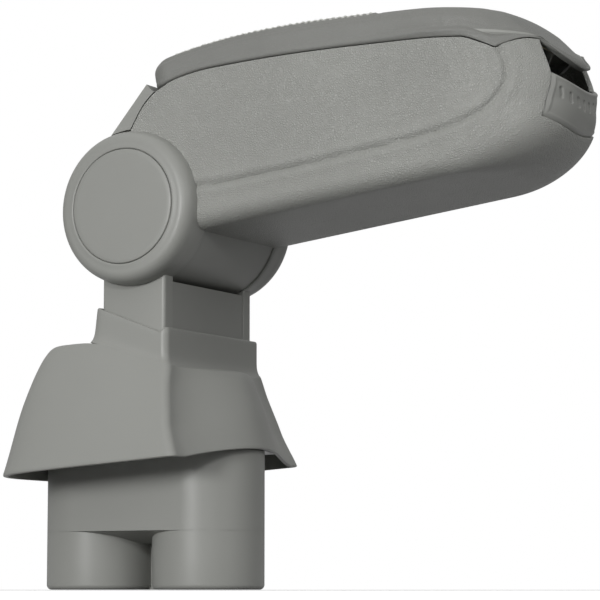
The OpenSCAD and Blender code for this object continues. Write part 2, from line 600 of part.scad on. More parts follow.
// A ring of the tray, wider than its foot by d on every side
function tray_ring(d, zf) = box_ring(tray_half + d, tray_nose + 3 + d, tray_rear - 3 - d, 8, zf);
flange_half = box_half_w - shell_wall - 0.4;
function flange_ring(down) = box_ring(flange_half, tray_nose + 6, tray_rear - 6, 8,
    function (x, y) rim(x) - down);
module storage_tray() color(dark_grey) arm_frame() difference() {
    union() {
        skin([
            tray_ring(-3, function (x, y) tray_floor),
            tray_ring(0, function (x, y) tray_floor + 3),
            tray_ring(1, function (x, y) rim(x) - 7),
            flange_ring(6),
            flange_ring(4),
            tray_ring(-1, function (x, y) rim(x) - 4),
            tray_ring(-2, function (x, y) tray_floor + 4),
            tray_ring(-5, function (x, y) tray_floor + 2)]);
        // Ears that carry the lid's pin
        both_sides() slab(ear_in, ear_out) ear();
    }
    for (p = screw_at) translate([p[0], p[1], tray_floor - 1]) cylinder(r = 1.5, h = 5, $fn = 32);
    translate([lid_px, 0, lid_pz]) rod(lid_pin_r, -ear_out - 1, ear_out + 1, 32);
}
lid_px = 29.5;
lid_pz = 75.5;
ear_r = 3.2;
module ear() {
    polygon([[lid_px + 1.4, lid_pz + 1.9], [lid_px + 11.9, lid_pz - 5.4],
             [tray_rear - 2, rim(tray_rear) - 5], [tray_rear - 2, rim(tray_rear) - 13.5],
             [lid_px + 16.5, lid_pz - 13.5], [lid_px + 6.8, lid_pz - 7.7], [lid_px - 1.4, lid_pz - 2]]);
    translate([lid_px, lid_pz]) circle(r = ear_r, $fn = 48);
}
module tray_screws() color(steel) arm_frame() for (p = screw_at) translate([p[0], p[1], tray_floor + 2])
    screw(1.5, tray_floor + 2 - floor_z - 3, 3.2, 1.8);
module lid_pin() color(steel) arm_frame() translate([lid_px, 0, lid_pz])
    rod(lid_pin_r - 0.02, -pin_half, pin_half, 32);

// Latch

latch_rows = 8;
latch_cols = 16;
function latch_pt(i, j, t) = let (u = 2 * i / latch_cols - 1,
        side_z = mix(latch_low_side, latch_top_side, j / latch_rows),
        y = u * (latch_half + 0.85 * splay(side_z)), z = side_z - latch_dip * (1 - u * u))
    [nose_x(y, z, t) - 0.3, y, z];
// Front sheet, then back sheet, each a grid of rows and columns
module latch_face() {
    c = latch_cols + 1;
    r = latch_rows + 1;
    pts = concat([for (j = [0:latch_rows], i = [0:latch_cols]) latch_pt(i, j, 0)],
                 [for (j = [0:latch_rows], i = [0:latch_cols]) latch_pt(i, j, 0) - [2.6, 0, 0]]);
    sheets = [for (j = [0:latch_rows - 1], i = [0:latch_cols - 1])
        let (a = j * c + i, b = a + 1, d = a + c, e = d + 1, o = r * c)
        each [[a, e, b], [a, d, e], [o + a, o + b, o + e], [o + a, o + e, o + d]]];
    loop = concat([for (i = [0:latch_cols]) i],
                  [for (j = [1:latch_rows]) j * c + latch_cols],
                  [for (i = [latch_cols - 1:-1:0]) latch_rows * c + i],
                  [for (j = [latch_rows - 1:-1:1]) j * c]);
    rims = [for (k = [0:len(loop) - 1]) let (a = loop[k], b = loop[(k + 1) % len(loop)], o = r * c)
        each [[a, b, o + b], [a, o + b, o + a]]];
    polyhedron(pts, concat(sheets, rims));
}
// A slanted slot sunk into the latch's face
module grip_slot(y) {
    z = latch_top_side - latch_dip * (1 - pow(y / mouth_half, 2)) - 9;
    yaw = atan2(nose_x(y - 1, z, 0) - nose_x(y + 1, z, 0), 2);
    translate([nose_x(y, z, 0) - 1.5, y, z]) rotate([0, 0, yaw]) rotate([90, 0, 90])
        linear_extrude(4) rotate(9) {
            square([1.8, slot_h - 1.8], center = true);
            for (s = [-1, 1]) translate([0, s * (slot_h - 1.8) / 2]) circle(r = 0.9, $fn = 16);
        }
}
module latch_lever() color(dark_grey) arm_frame() difference() {
    union() {
        latch_face();
        // Knuckles on the pin and the ribs that join them to the face
        for (k = [[-latch_half + 8, 3], [0, 5], [latch_half - 8, 3]]) translate([latch_x, k[0], latch_z]) {
            rod(3.4, -k[1], k[1], 48);
            translate([0, -2, 1]) cube([nose_x(k[0], latch_z + 2, 0) - 1.6 - latch_x, 4, 2.4]);
        }
        // Finger whose tooth holds the lid's hook
        slab(-5, 5) polygon([[latch_x, latch_z - 1.5], [latch_x, latch_z + 1.5],
            [finger_x + 2.5, latch_z + 1.5], [finger_x + 2.5, tooth_z - 2.5], [finger_x + 5, tooth_z - 1.2],
            [finger_x + 2.5, tooth_z], [finger_x, tooth_z], [finger_x, latch_z - 1.5]]);
    }
    translate([latch_x, 0, latch_z]) rod(1.56, -mouth_half, mouth_half, 32);
    for (i = [0:slot_count - 1]) grip_slot((i - (slot_count - 1) / 2) * slot_pitch);
}
finger_x = latch_x - 8.5;
tooth_z = 18;
module latch_pin() color(steel) arm_frame() translate([latch_x, 0, latch_z])
    rod(1.5, -pin_reach, pin_reach, 32);
// Spring coiled round the latch's pin, with a leg on the latch's face and one towards the tray
coil_r = 2.9;
wire_r = 0.5;
coil_turns = 4;
module latch_spring() color(steel) arm_frame() translate([latch_x, 7, latch_z]) {
    per = 12;
    rotate([-90, 0, 0]) skin([for (i = [coil_turns * per:-1:0]) let (a = i * 360 / per + 90)
        [for (k = [0:5]) let (r = coil_r + wire_r * cos(k * 60))
            [r * cos(a), r * sin(a), 1.2 * i / per + wire_r * sin(k * 60)]]]);
    translate([0, 0, -coil_r]) rotate([0, -90, 0]) cylinder(r = wire_r, h = 10.5, $fn = 12);
    translate([0, 1.2 * coil_turns, -coil_r]) rotate([0, 90, 0])
        cylinder(r = wire_r, h = nose_x(13, latch_z - coil_r, 0) - latch_x - 3, $fn = 12);
}

// Lid

lid_rear = 23.5;
// Where the lip under the lid's front edge is at its full depth
lip_x = nose_start + nose_len - 7;
top_pts = [[15, 66], [23.5, 79], [28, 85.2], [40.8, 87.8], [62, 89.2], [90, 89.3], [124, 87.2],
           [163, 82.8], [201, 77.9], [226, 73.2], [240, 69.6], [250, 65.9], [258, 62.4], [266, 56.4],
           [272, 48.7], [275, 41], [278, 30]];
function lid_top(x) = curve(top_pts, x);
function lid_low(x, y, cut) = rim(max(x, lid_px), cut) + lid_gap
    - lip_dip * (1 - pow(min(1, abs(y) / (latch_half - 1)), 2)) * ramp(x, lip_x - 18, lip_x);
// A ring of the lid, set in by t, at share k of the height between its lower edge and its top
function lid_ring(t, k, drop = 0, cut = notch_depth) =
    leaned(box_ring(box_half_w - t, nose_len - t, lid_rear + t, max(4, 14 - t),
        function (x, y) mix(lid_low(x, y, cut), lid_top(x), k) - drop));
// A ring of the lid's top, drawn in to share s of its width, where the lid is crowned
lid_mid = 150;
function top_ring(t, drop, s) = leaned([for (p = box_ring(box_half_w - t, nose_len - t, lid_rear + t,
        max(4, 14 - t), function (x, y) 0))
    let (x = mix(lid_mid, p[0], 1 - 0.07 * (1 - s)), w = ramp(x, lid_rear + 4, lid_rear + 45)
        * (1 - ramp(x, nose_start - 5, nose_start + nose_len - 10)))
    [x, p[1] * s, lid_top(x) - drop + lid_crown * (1 - s * s) * w]]);
crown_s = [1, 0.8, 0.55, 0.3, 0.1];
// The cover's inner skin, set in by another gap
function lid_inside(gap) = concat(
    [lid_ring(cover_t + gap, 0.5, 0), lid_ring(cover_t + 1 + gap, 0.78, cover_t * 0.4 + gap),
     lid_ring(cover_t + 2.9 + gap, 0.93, cover_t * 0.8 + gap)],
    [for (s = crown_s) top_ring(cover_t + 6.2 + gap, cover_t + gap, s)]);
function backward(list) = [for (i = [len(list) - 1:-1:0]) list[i]];

module lid_cover() color(grey) arm_frame() difference() {
    skin(concat(
        backward(lid_inside(0)),
        [lid_ring(cover_t, 0.14), lid_ring(cover_t + 0.6, 0.07), lid_ring(4, 0.07), lid_ring(4, 0),
         lid_ring(0.8, 0), lid_ring(0, 0.12), lid_ring(0, 0.5), lid_ring(1.2, 0.78), lid_ring(3.4, 0.93)],
        [for (s = crown_s) top_ring(7, 0, s)]));
    // Room for the tray's ears when the lid is open
    both_sides() slab(ear_in - 0.3, ear_out + 0.3)
        translate([lid_rear + cover_t + 0.1, rim(lid_px) + lid_gap - 2]) square([4.4, 5]);
}

// Side view of the blocks that turn on the lid's pin
module pin_block() polygon([[lid_px - 3.3, lid_pz - 4.3], [lid_px + 12.5, lid_pz - 3],
    [lid_px + 12.5, lid_pz + 4.9], [lid_px + 0.5, lid_pz + 4.9], [lid_px - 3.3, lid_pz + 2]]);
foam_gap = 0.3;
module lid_foam() color([0.8, 0.78, 0.6]) arm_frame() difference() {
    skin(concat([lid_ring(cover_t + foam_gap, 0.24, -0.5, 0)], lid_inside(foam_gap)));
    slab(-pin_half - 0.1, pin_half + 0.1) union() {
        offset(delta = 0.1) pin_block();
        translate([lid_px - 10, lid_pz - 15]) square([22.5, 13]);
    }
}
hook_x = finger_x + 6.1;
hook_z = tooth_z - 6.5;
module lid_base() color(dark_grey) arm_frame() difference() {
    union() {
        skin([lid_ring(4.3, 0.015, 0, 0), lid_ring(4.3, 0.07, 0, 0), lid_ring(cover_t + 0.8, 0.07, 0, 0),
              lid_ring(cover_t + 0.1, 0.15, 0, 0), lid_ring(cover_t + 0.1, 0.24, 0, 0)]);
        both_sides() slab(ear_in - 6, pin_half) pin_block();
        // Hook that the latch's tooth holds
        slab(-5, 5) polygon([[hook_x + 1.4, 53], [hook_x + 3.6, 53], [hook_x + 3.6, hook_z],
            [hook_x + 1.4, hook_z], [hook_x, hook_z + 1.2], [hook_x + 1.4, hook_z + 2.7]]);
        slab(-0.9, 0.9) polygon([[hook_x + 3.5, 51.5], [hook_x + 12, 49.5], [hook_x + 3.5, 36]]);
    }
    // Slots for the tray's ears
    both_sides() slab(ear_in - 0.3, ear_out + 0.3) union() {
        translate([lid_px, lid_pz]) circle(r = ear_r + 0.5, $fn = 48);
        polygon([[lid_px - ear_r - 0.5, lid_pz], [lid_px - 6, lid_pz - 2.5], [lid_px - 6, lid_pz - 15],
                 [lid_px + 11.5, lid_pz - 15], [lid_px + 11.5, lid_pz - 1.3],
                 [lid_px + ear_r + 0.5, lid_pz + 0.9]]);
    }
    translate([lid_px, 0, lid_pz]) rod(lid_pin_r + 0.05, -pin_half - 1, pin_half + 1, 32);
}

cup_plug();
skirt_shroud();
post_cover_right();
post_cover_left();
post_panel_front();
post_panel_rear();
hub_cap_right();
hub_cap_left();
deck_plate();
support_bracket();
axle_bolt();
axle_nut();
axle_washers();
disc_springs();
friction_discs();
hub_bushes();
travel_stops();
deck_bolts();
deck_nuts();
plug_screws();
skirt_screws();
cover_screws();
arm_hub();
arm_shell();
storage_tray();
tray_screws();
lid_pin();
latch_pin();
latch_spring();
latch_lever();
lid_base();
lid_foam();
lid_cover();
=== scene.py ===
import math

import bpy
import mathutils
import numpy as np
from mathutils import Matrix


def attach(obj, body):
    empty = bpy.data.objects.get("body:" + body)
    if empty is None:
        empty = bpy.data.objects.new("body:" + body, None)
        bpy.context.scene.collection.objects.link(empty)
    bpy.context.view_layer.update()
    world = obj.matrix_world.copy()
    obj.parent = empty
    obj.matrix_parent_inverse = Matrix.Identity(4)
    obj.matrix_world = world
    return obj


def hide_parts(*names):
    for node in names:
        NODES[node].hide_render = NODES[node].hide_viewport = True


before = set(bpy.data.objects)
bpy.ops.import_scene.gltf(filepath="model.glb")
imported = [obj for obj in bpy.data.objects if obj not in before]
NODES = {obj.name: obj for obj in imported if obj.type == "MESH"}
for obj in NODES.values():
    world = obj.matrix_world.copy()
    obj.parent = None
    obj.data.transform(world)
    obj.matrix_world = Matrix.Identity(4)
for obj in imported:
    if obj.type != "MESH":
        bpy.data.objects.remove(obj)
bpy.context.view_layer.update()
MM = 0.001

# The frame's hinge in millimetres and the arm's rest tilt in radians
AX, AZ, TILT = 16.0, 227.0, math.radians(7)

# Arm-frame (x, z) of the box's rim and the lid's top, and how far the nose reaches at height z
RIM = [[-9, 30], [4, 46.5], [15.7, 60.8], [28.1, 68.6], [50.7, 72.3], [77, 71.7], [125, 67.9],
       [198.5, 58.9], [222, 55], [245, 51], [262, 48.6], [277, 46]]
TOP = [[13.4, 70], [19.4, 83.5], [28, 86.2], [40.8, 87.8], [62, 89.2], [90, 89.3], [124, 87.2], [163, 82.8],
       [201, 77.9], [226, 73.2], [240, 70], [250, 67.2], [258, 60.4], [266, 51.8], [272, 45.2],
       [275, 40.4], [278, 30]]
REACH = [[-5, 1], [12, 1.01], [20, 1.035], [28, 1.04], [36, 1.015], [43, 0.985], [48, 0.97], [54, 0.965],
         [62, 0.975], [75, 1], [90, 1]]
# The box: where its nose starts, the nose's length, half width and the outline's exponent; floor and edge
# radius; the mouth's half width, its splay, its top's dip and its lower end; wall thicknesses
START, NOSE, HALF, N = 205.0, 70.0, 54.0, 2.4
FLOOR, EDGE = -20.5, 10.0
MOUTH, SPLAY, DIP, LOW = 31.5, 4.8, 8.0, 3.5
WALL, LINING, SKIN, POLE = 2.8, 1.2, 2.6, 0.01
NOTCH_X = START + NOSE * math.cos(math.radians(60)) ** (2 / N)


def curve(pts, x):
    """Smooth curve through pts, read at the array x."""
    p = np.asarray(pts, float)
    x = np.asarray(x, float)
    i = np.clip(np.searchsorted(p[:, 0], x, side="right") - 1, 0, len(p) - 2)
    a, b, c, d = p[np.maximum(i - 1, 0)], p[i], p[i + 1], p[np.minimum(i + 2, len(p) - 1)]
    h = c[..., 0] - b[..., 0]
    k = np.clip((x - b[..., 0]) / h, 0, 1)
    ma = (c[..., 1] - a[..., 1]) / (c[..., 0] - a[..., 0]) * h
    mb = (d[..., 1] - b[..., 1]) / (d[..., 0] - b[..., 0]) * h
    return ((2 * k**3 - 3 * k**2 + 1) * b[..., 1] + (k**3 - 2 * k**2 + k) * ma
            + (3 * k**2 - 2 * k**3) * c[..., 1] + (k**3 - k**2) * mb)


def ramp(x, a, b):
    k = np.clip((np.asarray(x, float) - a) / (b - a), 0, 1)
    return k * k * (3 - 2 * k)


def mix(a, b, k):
    return a + (b - a) * k


def rim(x, cut=6.4):
    return curve(RIM, x) - cut * np.maximum(0, 1 - np.abs(x - NOTCH_X) / 18) ** 1.4


def to_world(p):
    """Arm-frame millimetres to the row frame in metres."""
    p = np.asarray(p, float)
    c, s = math.cos(TILT), math.sin(TILT)
    out = np.empty_like(p)
    out[..., 0] = AX + c * p[..., 0] - s * p[..., 2]
    out[..., 1] = p[..., 1]
    out[..., 2] = AZ + s * p[..., 0] + c * p[..., 2]
    return out * MM


def grid_faces(rows, cols, loop_u=False, loop_v=False, keep=None):
    """Quads of a rows by cols grid of points."""
    j = np.arange(rows if loop_v else rows - 1)
    i = np.arange(cols if loop_u else cols - 1)
    jj, ii = np.meshgrid(j, i, indexing="ij")
    a = jj * cols + ii
    b = jj * cols + (ii + 1) % cols
    c = ((jj + 1) % rows) * cols + (ii + 1) % cols
    d = ((jj + 1) % rows) * cols + ii
    q = np.stack([a, b, c, d], -1)
    if keep is not None:
        q = q[keep(jj, ii)]
    return q.reshape(-1, 4)


def make(name, verts, faces, smooth=True, angle=40.0):
    """A mesh object from metres and quads or polygons."""
    me = bpy.data.meshes.new(name)
    me.from_pydata(np.asarray(verts, float).reshape(-1, 3).tolist(), [], [list(map(int, f)) for f in faces])
    me.validate()
    me.update()
    ob = bpy.data.objects.new(name, me)
    bpy.context.scene.collection.objects.link(ob)
    if smooth:
        me.polygons.foreach_set("use_smooth", [True] * len(me.polygons))
        bpy.context.view_layer.objects.active = ob
        for o in bpy.context.selected_objects:
            o.select_set(False)
        ob.select_set(True)
        bpy.ops.object.shade_smooth_by_angle(angle=math.radians(angle))
    return ob


def join(name, parts, angle=40.0):
    """One mesh object from several (verts, faces) pairs."""
    vs, fs, off = [], [], 0
    for v, f in parts:
        v = np.asarray(v, float).reshape(-1, 3)
        vs.append(v)
        fs += [[int(i) + off for i in g] for g in f]
        off += len(v)
    return make(name, np.concatenate(vs), fs, angle=angle)


def bevel(ob, width, segments=3, angle=35.0):
    m = ob.modifiers.new("Edges", "BEVEL")
    m.width = width * MM
    m.segments = segments
    m.limit_method = "ANGLE"
    m.angle_limit = math.radians(angle)
    m.harden_normals = False
    return m


def lathe_y(profile, cx, cz, n=192, side=1.0):
    """A closed profile of (radius, y) turned about the line along Y through cx, cz, in mm."""
    p = np.asarray(profile, float)
    t = np.linspace(0, 2 * np.pi, n, endpoint=False)
    x = cx + p[:, 0:1] * np.cos(t)
    z = cz + p[:, 0:1] * np.sin(t)
    y = np.repeat(side * p[:, 1:2], n, 1)
    f = grid_faces(len(p), n, loop_u=True, loop_v=True)
    if side < 0:
        f = f[:, ::-1]
    return np.stack([x, y, z], -1) * MM, f


def lathe_z(profile, cx, cy, n=96):
    """A closed profile of (radius, z) turned about the upright line through cx, cy, in mm."""
    p = np.asarray(profile, float)
    t = np.linspace(0, 2 * np.pi, n, endpoint=False)
    x = cx + p[:, 0:1] * np.cos(t)
    y = cy + p[:, 0:1] * np.sin(t)
    z = np.repeat(p[:, 1:2], n, 1)
    return np.stack([x, y, z], -1) * MM, grid_faces(len(p), n, loop_u=True, loop_v=True)


def rounded(pts, r, n=6):
    """The polygon pts with its corners rounded; r is one radius or one for each corner."""
    pts = np.asarray(pts, float)
    rs = np.broadcast_to(np.asarray(r, float), (len(pts),))
    out = []
    for i, p in enumerate(pts):
        if rs[i] <= 0:
            out.append(p)
            continue
        a, b = pts[i - 1] - p, pts[(i + 1) % len(pts)] - p
        la, lb = np.linalg.norm(a), np.linalg.norm(b)
        a, b = a / la, b / lb
        half = math.acos(float(np.clip(a @ b, -1, 1))) / 2
        d = min(rs[i] / math.tan(half), la * 0.49, lb * 0.49)
        for k in np.linspace(0, 1, n + 1):
            out.append((1 - k) ** 2 * (p + a * d) + 2 * k * (1 - k) * p + k * k * (p + b * d))
    return np.array(out)


def prism_faces(n):
    """Faces of a prism whose two end rings hold n points each."""
    return ([list(range(n))[::-1], list(range(n, 2 * n))]
            + [[i, (i + 1) % n, n + (i + 1) % n, n + i] for i in range(n)])


def prism(poly, lo, hi, axis):
    """A polygon carried along an axis: 'z' takes (x, y), 'y' takes (x, z)."""
    p = np.asarray(poly, float)
    n = len(p)
    if axis == "z":
        v = [np.column_stack([p, np.full(n, h)]) for h in (lo, hi)]
    else:
        v = [np.column_stack([p[:, 0], np.full(n, h), p[:, 1]]) for h in (lo, hi)]
    area = 0.5 * np.sum(p[:, 0] * np.roll(p[:, 1], -1) - np.roll(p[:, 0], -1) * p[:, 1])
    f = prism_faces(n)
    if (area < 0) != (axis == "y"):
        f = [g[::-1] for g in f]
    return np.concatenate(v), f


# Materials


def material(name, base, rough, build, metallic=0.0, spec=0.5):
    """A Principled material whose colour, roughness and bump are set by build from object coordinates."""
    m = bpy.data.materials.new(name)
    m.use_nodes = True
    nt = m.node_tree
    b = nt.nodes["Principled BSDF"]
    b.inputs["Base Color"].default_value = (*base, 1)
    b.inputs["Roughness"].default_value = rough
    b.inputs["Metallic"].default_value = metallic
    b.inputs["Specular IOR Level"].default_value = spec
    tc = nt.nodes.new("ShaderNodeTexCoord")
    build(nt, b, tc.outputs["Object"])
    return m


def noise(nt, vec, scale, detail=3.0, rough=0.55):
    n = nt.nodes.new("ShaderNodeTexNoise")
    n.inputs["Scale"].default_value = scale
    n.inputs["Detail"].default_value = detail
    n.inputs["Roughness"].default_value = rough
    nt.links.new(vec, n.inputs["Vector"])
    return n.outputs["Fac"]


def voronoi(nt, vec, scale, feature="F1", rand=1.0):
    n = nt.nodes.new("ShaderNodeTexVoronoi")
    n.feature = feature
    n.inputs["Scale"].default_value = scale
    n.inputs["Randomness"].default_value = rand
    nt.links.new(vec, n.inputs["Vector"])
    return n.outputs["Distance"]


def maths(nt, op, a, b=None, clamp=False):
    n = nt.nodes.new("ShaderNodeMath")
    n.operation = op
    n.use_clamp = clamp
    for i, v in enumerate((a, b)):
        if v is None:
            continue
        if isinstance(v, (int, float)):
            n.inputs[i].default_value = v
        else:
            nt.links.new(v, n.inputs[i])
    return n.outputs[0]


def scaled(nt, val, lo, hi, to_lo, to_hi):
    n = nt.nodes.new("ShaderNodeMapRange")
    nt.links.new(val, n.inputs["Value"])
    for k, v in zip(("From Min", "From Max", "To Min", "To Max"), (lo, hi, to_lo, to_hi)):
        n.inputs[k].default_value = v
    return n.outputs["Result"]


def tint(nt, b, val, dark, light):
    """Base colour between two tones by val."""
    r = nt.nodes.new("ShaderNodeMix")
    r.data_type = "RGBA"
    nt.links.new(val, r.inputs["Factor"])
    r.inputs["A"].default_value = (*dark, 1)
    r.inputs["B"].default_value = (*light, 1)
    nt.links.new(r.outputs["Result"], b.inputs["Base Color"])


def bump(nt, b, height, dist_mm, strength=1.0, normal=None):
    n = nt.nodes.new("ShaderNodeBump")
    n.inputs["Distance"].default_value = dist_mm * MM
    n.inputs["Strength"].default_value = strength
    nt.links.new(height, n.inputs["Height"])
    if normal is not None:
        nt.links.new(normal, n.inputs["Normal"])
    nt.links.new(n.outputs["Normal"], b.inputs["Normal"])
    return n.outputs["Normal"]


def grained(depth, cell, dark, light, rlo, rhi):
    """Moulded or embossed grain: pebbles of about cell mm with fine creases between them."""
    def build(nt, b, vec):
        warp = nt.nodes.new("ShaderNodeVectorMath")
        warp.operation = "MULTIPLY_ADD"
        nz = nt.nodes.new("ShaderNodeTexNoise")
        nz.inputs["Scale"].default_value = 420
        nt.links.new(vec, nz.inputs["Vector"])
        nt.links.new(nz.outputs["Color"], warp.inputs[0])
        warp.inputs[1].default_value = (0.0005, 0.0005, 0.0005)
        nt.links.new(vec, warp.inputs[2])
        v = warp.outputs["Vector"]
        edge = scaled(nt, voronoi(nt, v, 1000.0 / cell, "DISTANCE_TO_EDGE"), 0.0, 0.35, 0.0, 1.0)
        fine = noise(nt, vec, 2600, 2)
        h = maths(nt, "ADD", maths(nt, "MULTIPLY", edge, 0.8), maths(nt, "MULTIPLY", fine, 0.35))
        bump(nt, b, h, depth)
        big = noise(nt, vec, 14, 3)
        c = maths(nt, "ADD", maths(nt, "MULTIPLY", edge, 0.35), maths(nt, "MULTIPLY", big, 0.8), clamp=True)
        tint(nt, b, c, dark, light)
        nt.links.new(scaled(nt, c, 0, 1, rhi, rlo), b.inputs["Roughness"])
    return build


def satin(dark, light, rlo, rhi, depth=0.02):
    """Smooth moulded plastic with the faint texture of a spark-eroded mould."""
    def build(nt, b, vec):
        fine = noise(nt, vec, 1900, 2)
        big = noise(nt, vec, 11, 3)
        bump(nt, b, fine, depth)
        c = maths(nt, "ADD", maths(nt, "MULTIPLY", big, 0.85), maths(nt, "MULTIPLY", fine, 0.15))
        tint(nt, b, c, dark, light)
        nt.links.new(scaled(nt, noise(nt, vec, 60, 3), 0.3, 0.7, rlo, rhi), b.inputs["Roughness"])
    return build


def tone(v, warm=0.0):
    """A grey of level v; warm 1 is the plastics' faint yellow-green cast."""
    return (v * (1 - 0.012 * warm), v, v * (1 - 0.065 * warm))


G = 0.285
M_SHELL = material("shell_smooth", tone(G), 0.42, satin(tone(G * 0.975, 1), tone(G * 1.035, 1), 0.39, 0.44))
M_GRAIN = material("shell_grain", tone(G), 0.5,
                   grained(0.32, 1.4, tone(G * 0.86, 1), tone(G * 1.24, 1), 0.34, 0.5), spec=0.6)
M_DARK = material("inner_plastic", tone(0.3, 1), 0.5, satin(tone(0.28, 1), tone(0.32, 1), 0.45, 0.58))
M_PANEL = material("panel_plastic", tone(G * 0.93), 0.45,
                   satin(tone(G * 0.87, 1), tone(G * 0.99, 1), 0.40, 0.50))
M_LATCH = material("latch_plastic", tone(0.25), 0.4, satin(tone(0.235, 1), tone(0.265, 1), 0.34, 0.44))
M_COVER = material("leatherette", tone(0.215, 1), 0.5,
                   grained(0.14, 1.0, tone(0.178, 1), tone(0.228, 1), 0.38, 0.52))
M_THREAD = material("thread", tone(0.6, 1), 0.6, satin(tone(0.56, 1), tone(0.65, 1), 0.55, 0.7, 0.05))
M_FOAM = material("foam", (0.62, 0.58, 0.42), 0.95,
                  grained(0.3, 0.8, (0.5, 0.46, 0.32), (0.7, 0.66, 0.5), 0.9, 1.0))
M_STEEL = material("zinc_steel", tone(0.55), 0.35, satin(tone(0.50), tone(0.62), 0.28, 0.45, 1), metallic=1.0)
M_LINING = material("friction_lining", tone(0.06), 0.8, satin(tone(0.05), tone(0.08), 0.75, 0.9, 0.05))
M_BUSH = material("bush_plastic", tone(0.6), 0.5, satin(tone(0.56), tone(0.64), 0.45, 0.55))

FINISH = {
    "cup_plug": M_SHELL, "skirt_shroud": M_SHELL, "post_cover_right": M_SHELL, "post_cover_left": M_SHELL,
    "post_panel_front": M_PANEL, "post_panel_rear": M_PANEL, "hub_cap_right": M_SHELL, "hub_cap_left": M_SHELL,
    "deck_plate": M_STEEL, "support_bracket": M_STEEL, "axle_bolt": M_STEEL, "axle_nut": M_STEEL,
    "axle_washers": M_STEEL, "disc_springs": M_STEEL, "friction_discs": M_LINING, "hub_bushes": M_BUSH,
    "travel_stops": M_STEEL, "deck_bolts": M_STEEL, "deck_nuts": M_STEEL, "plug_screws": M_STEEL,
    "skirt_screws": M_STEEL, "cover_screws": M_STEEL, "arm_hub": M_SHELL, "arm_shell": M_GRAIN,
    "storage_tray": M_DARK, "tray_screws": M_STEEL, "lid_pin": M_STEEL, "latch_pin": M_STEEL,
    "latch_spring": M_STEEL, "latch_lever": M_LATCH, "lid_base": M_DARK, "lid_foam": M_FOAM,
    "lid_cover": M_COVER}
for name, ob in NODES.items():
    ob.data.materials.clear()
    ob.data.materials.append(FINISH[name])


def dress(ob, mat, body, node=None):
    ob.data.materials.clear()
    ob.data.materials.append(mat)
    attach(ob, body)
    if node:
        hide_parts(node)
    return ob


# The box's grained shell


def stations(n_side, n_nose, corner_t=None):
    """Shares of the way along one half of the outline: u on the straight side, then nose angles."""
    u = np.concatenate([np.linspace(0, 0.12, n_side // 3, endpoint=False),
                        np.linspace(0.12, 1, n_side - n_side // 3, endpoint=False)])
    t = -np.radians(90 - 90 * np.linspace(0, 1, n_nose) ** 1.25)
    if corner_t is not None:
        t[np.argmin(np.abs(t + corner_t))] = -corner_t
    t[-1] = -1e-4
    t[0] = -(np.pi / 2 - 1e-3)
    return u, t


def outline(half, length, xr, u, t, corner=0.0, n=N):
    """(x, |y|) of one half of the box's outline."""
    xs = mix(xr, START, u)
    d = np.maximum(0, corner - (xs - xr))
    ys = half - corner + np.sqrt(np.maximum(0, corner**2 - d**2))
    xn = START + length * np.abs(np.cos(t)) ** (2 / n)
    yn = half * np.abs(np.sin(t)) ** (2 / n)
    return np.concatenate([xs, xn]), np.concatenate([ys, yn])


def lean(x, z):
    return np.where(x > START, START + (x - START) * curve(REACH, z), x)


def full_ring(x, y, z):
    """Both halves of a ring, right side first, counterclockwise from above."""
    a = np.stack([x, -y, z], -1)
    b = np.stack([x, y, z], -1)[::-1]
    return np.concatenate([a, b])


GROOVE = np.array([[36, 5.2], [46.7, 4.4], [55.9, 3.4], [82, 2.7], [120, 2.5], [160, 2.6],
                   [185, 3.2], [203.6, 4.2], [215, 5.6], [224, 7.8], [232, 10.4], [239, 14.6],
                   [244.5, 20], [247.6, 25.6], [248.6, 32], [247.6, 38.5], [245.4, 45],
                   [244.5, 50]])


def groove_line(n=260):
    """The groove's course on the box's side, as close points in (x, z)."""
    p = GROOVE
    s = np.concatenate([[0], np.cumsum(np.linalg.norm(np.diff(p, axis=0), axis=1))])
    q = np.linspace(0, s[-1], n)
    return np.stack([curve(np.column_stack([s, p[:, 0]]), q), curve(np.column_stack([s, p[:, 1]]), q)], -1)


def line_distance(x, z):
    """Distance to the groove's course from each point."""
    g = groove_line()
    a, b = g[:-1], g[1:]
    d = b - a
    pts = np.stack([x, z], -1).reshape(-1, 2)
    best = np.full(len(pts), 1e9)
    for k in range(len(a)):
        w = pts - a[k]
        s = np.clip((w @ d[k]) / (d[k] @ d[k]), 0, 1)
        e = w - s[:, None] * d[k]
        best = np.minimum(best, np.hypot(e[:, 0], e[:, 1]))
    return best.reshape(x.shape)


def mouth_half(z):
    """Half width of the nose's opening at height z; it widens downwards."""
    v = np.clip((z - LOW - 0.6) / 24.4, 0, 1)
    return MOUTH + SPLAY * (1 - v) ** 1.3


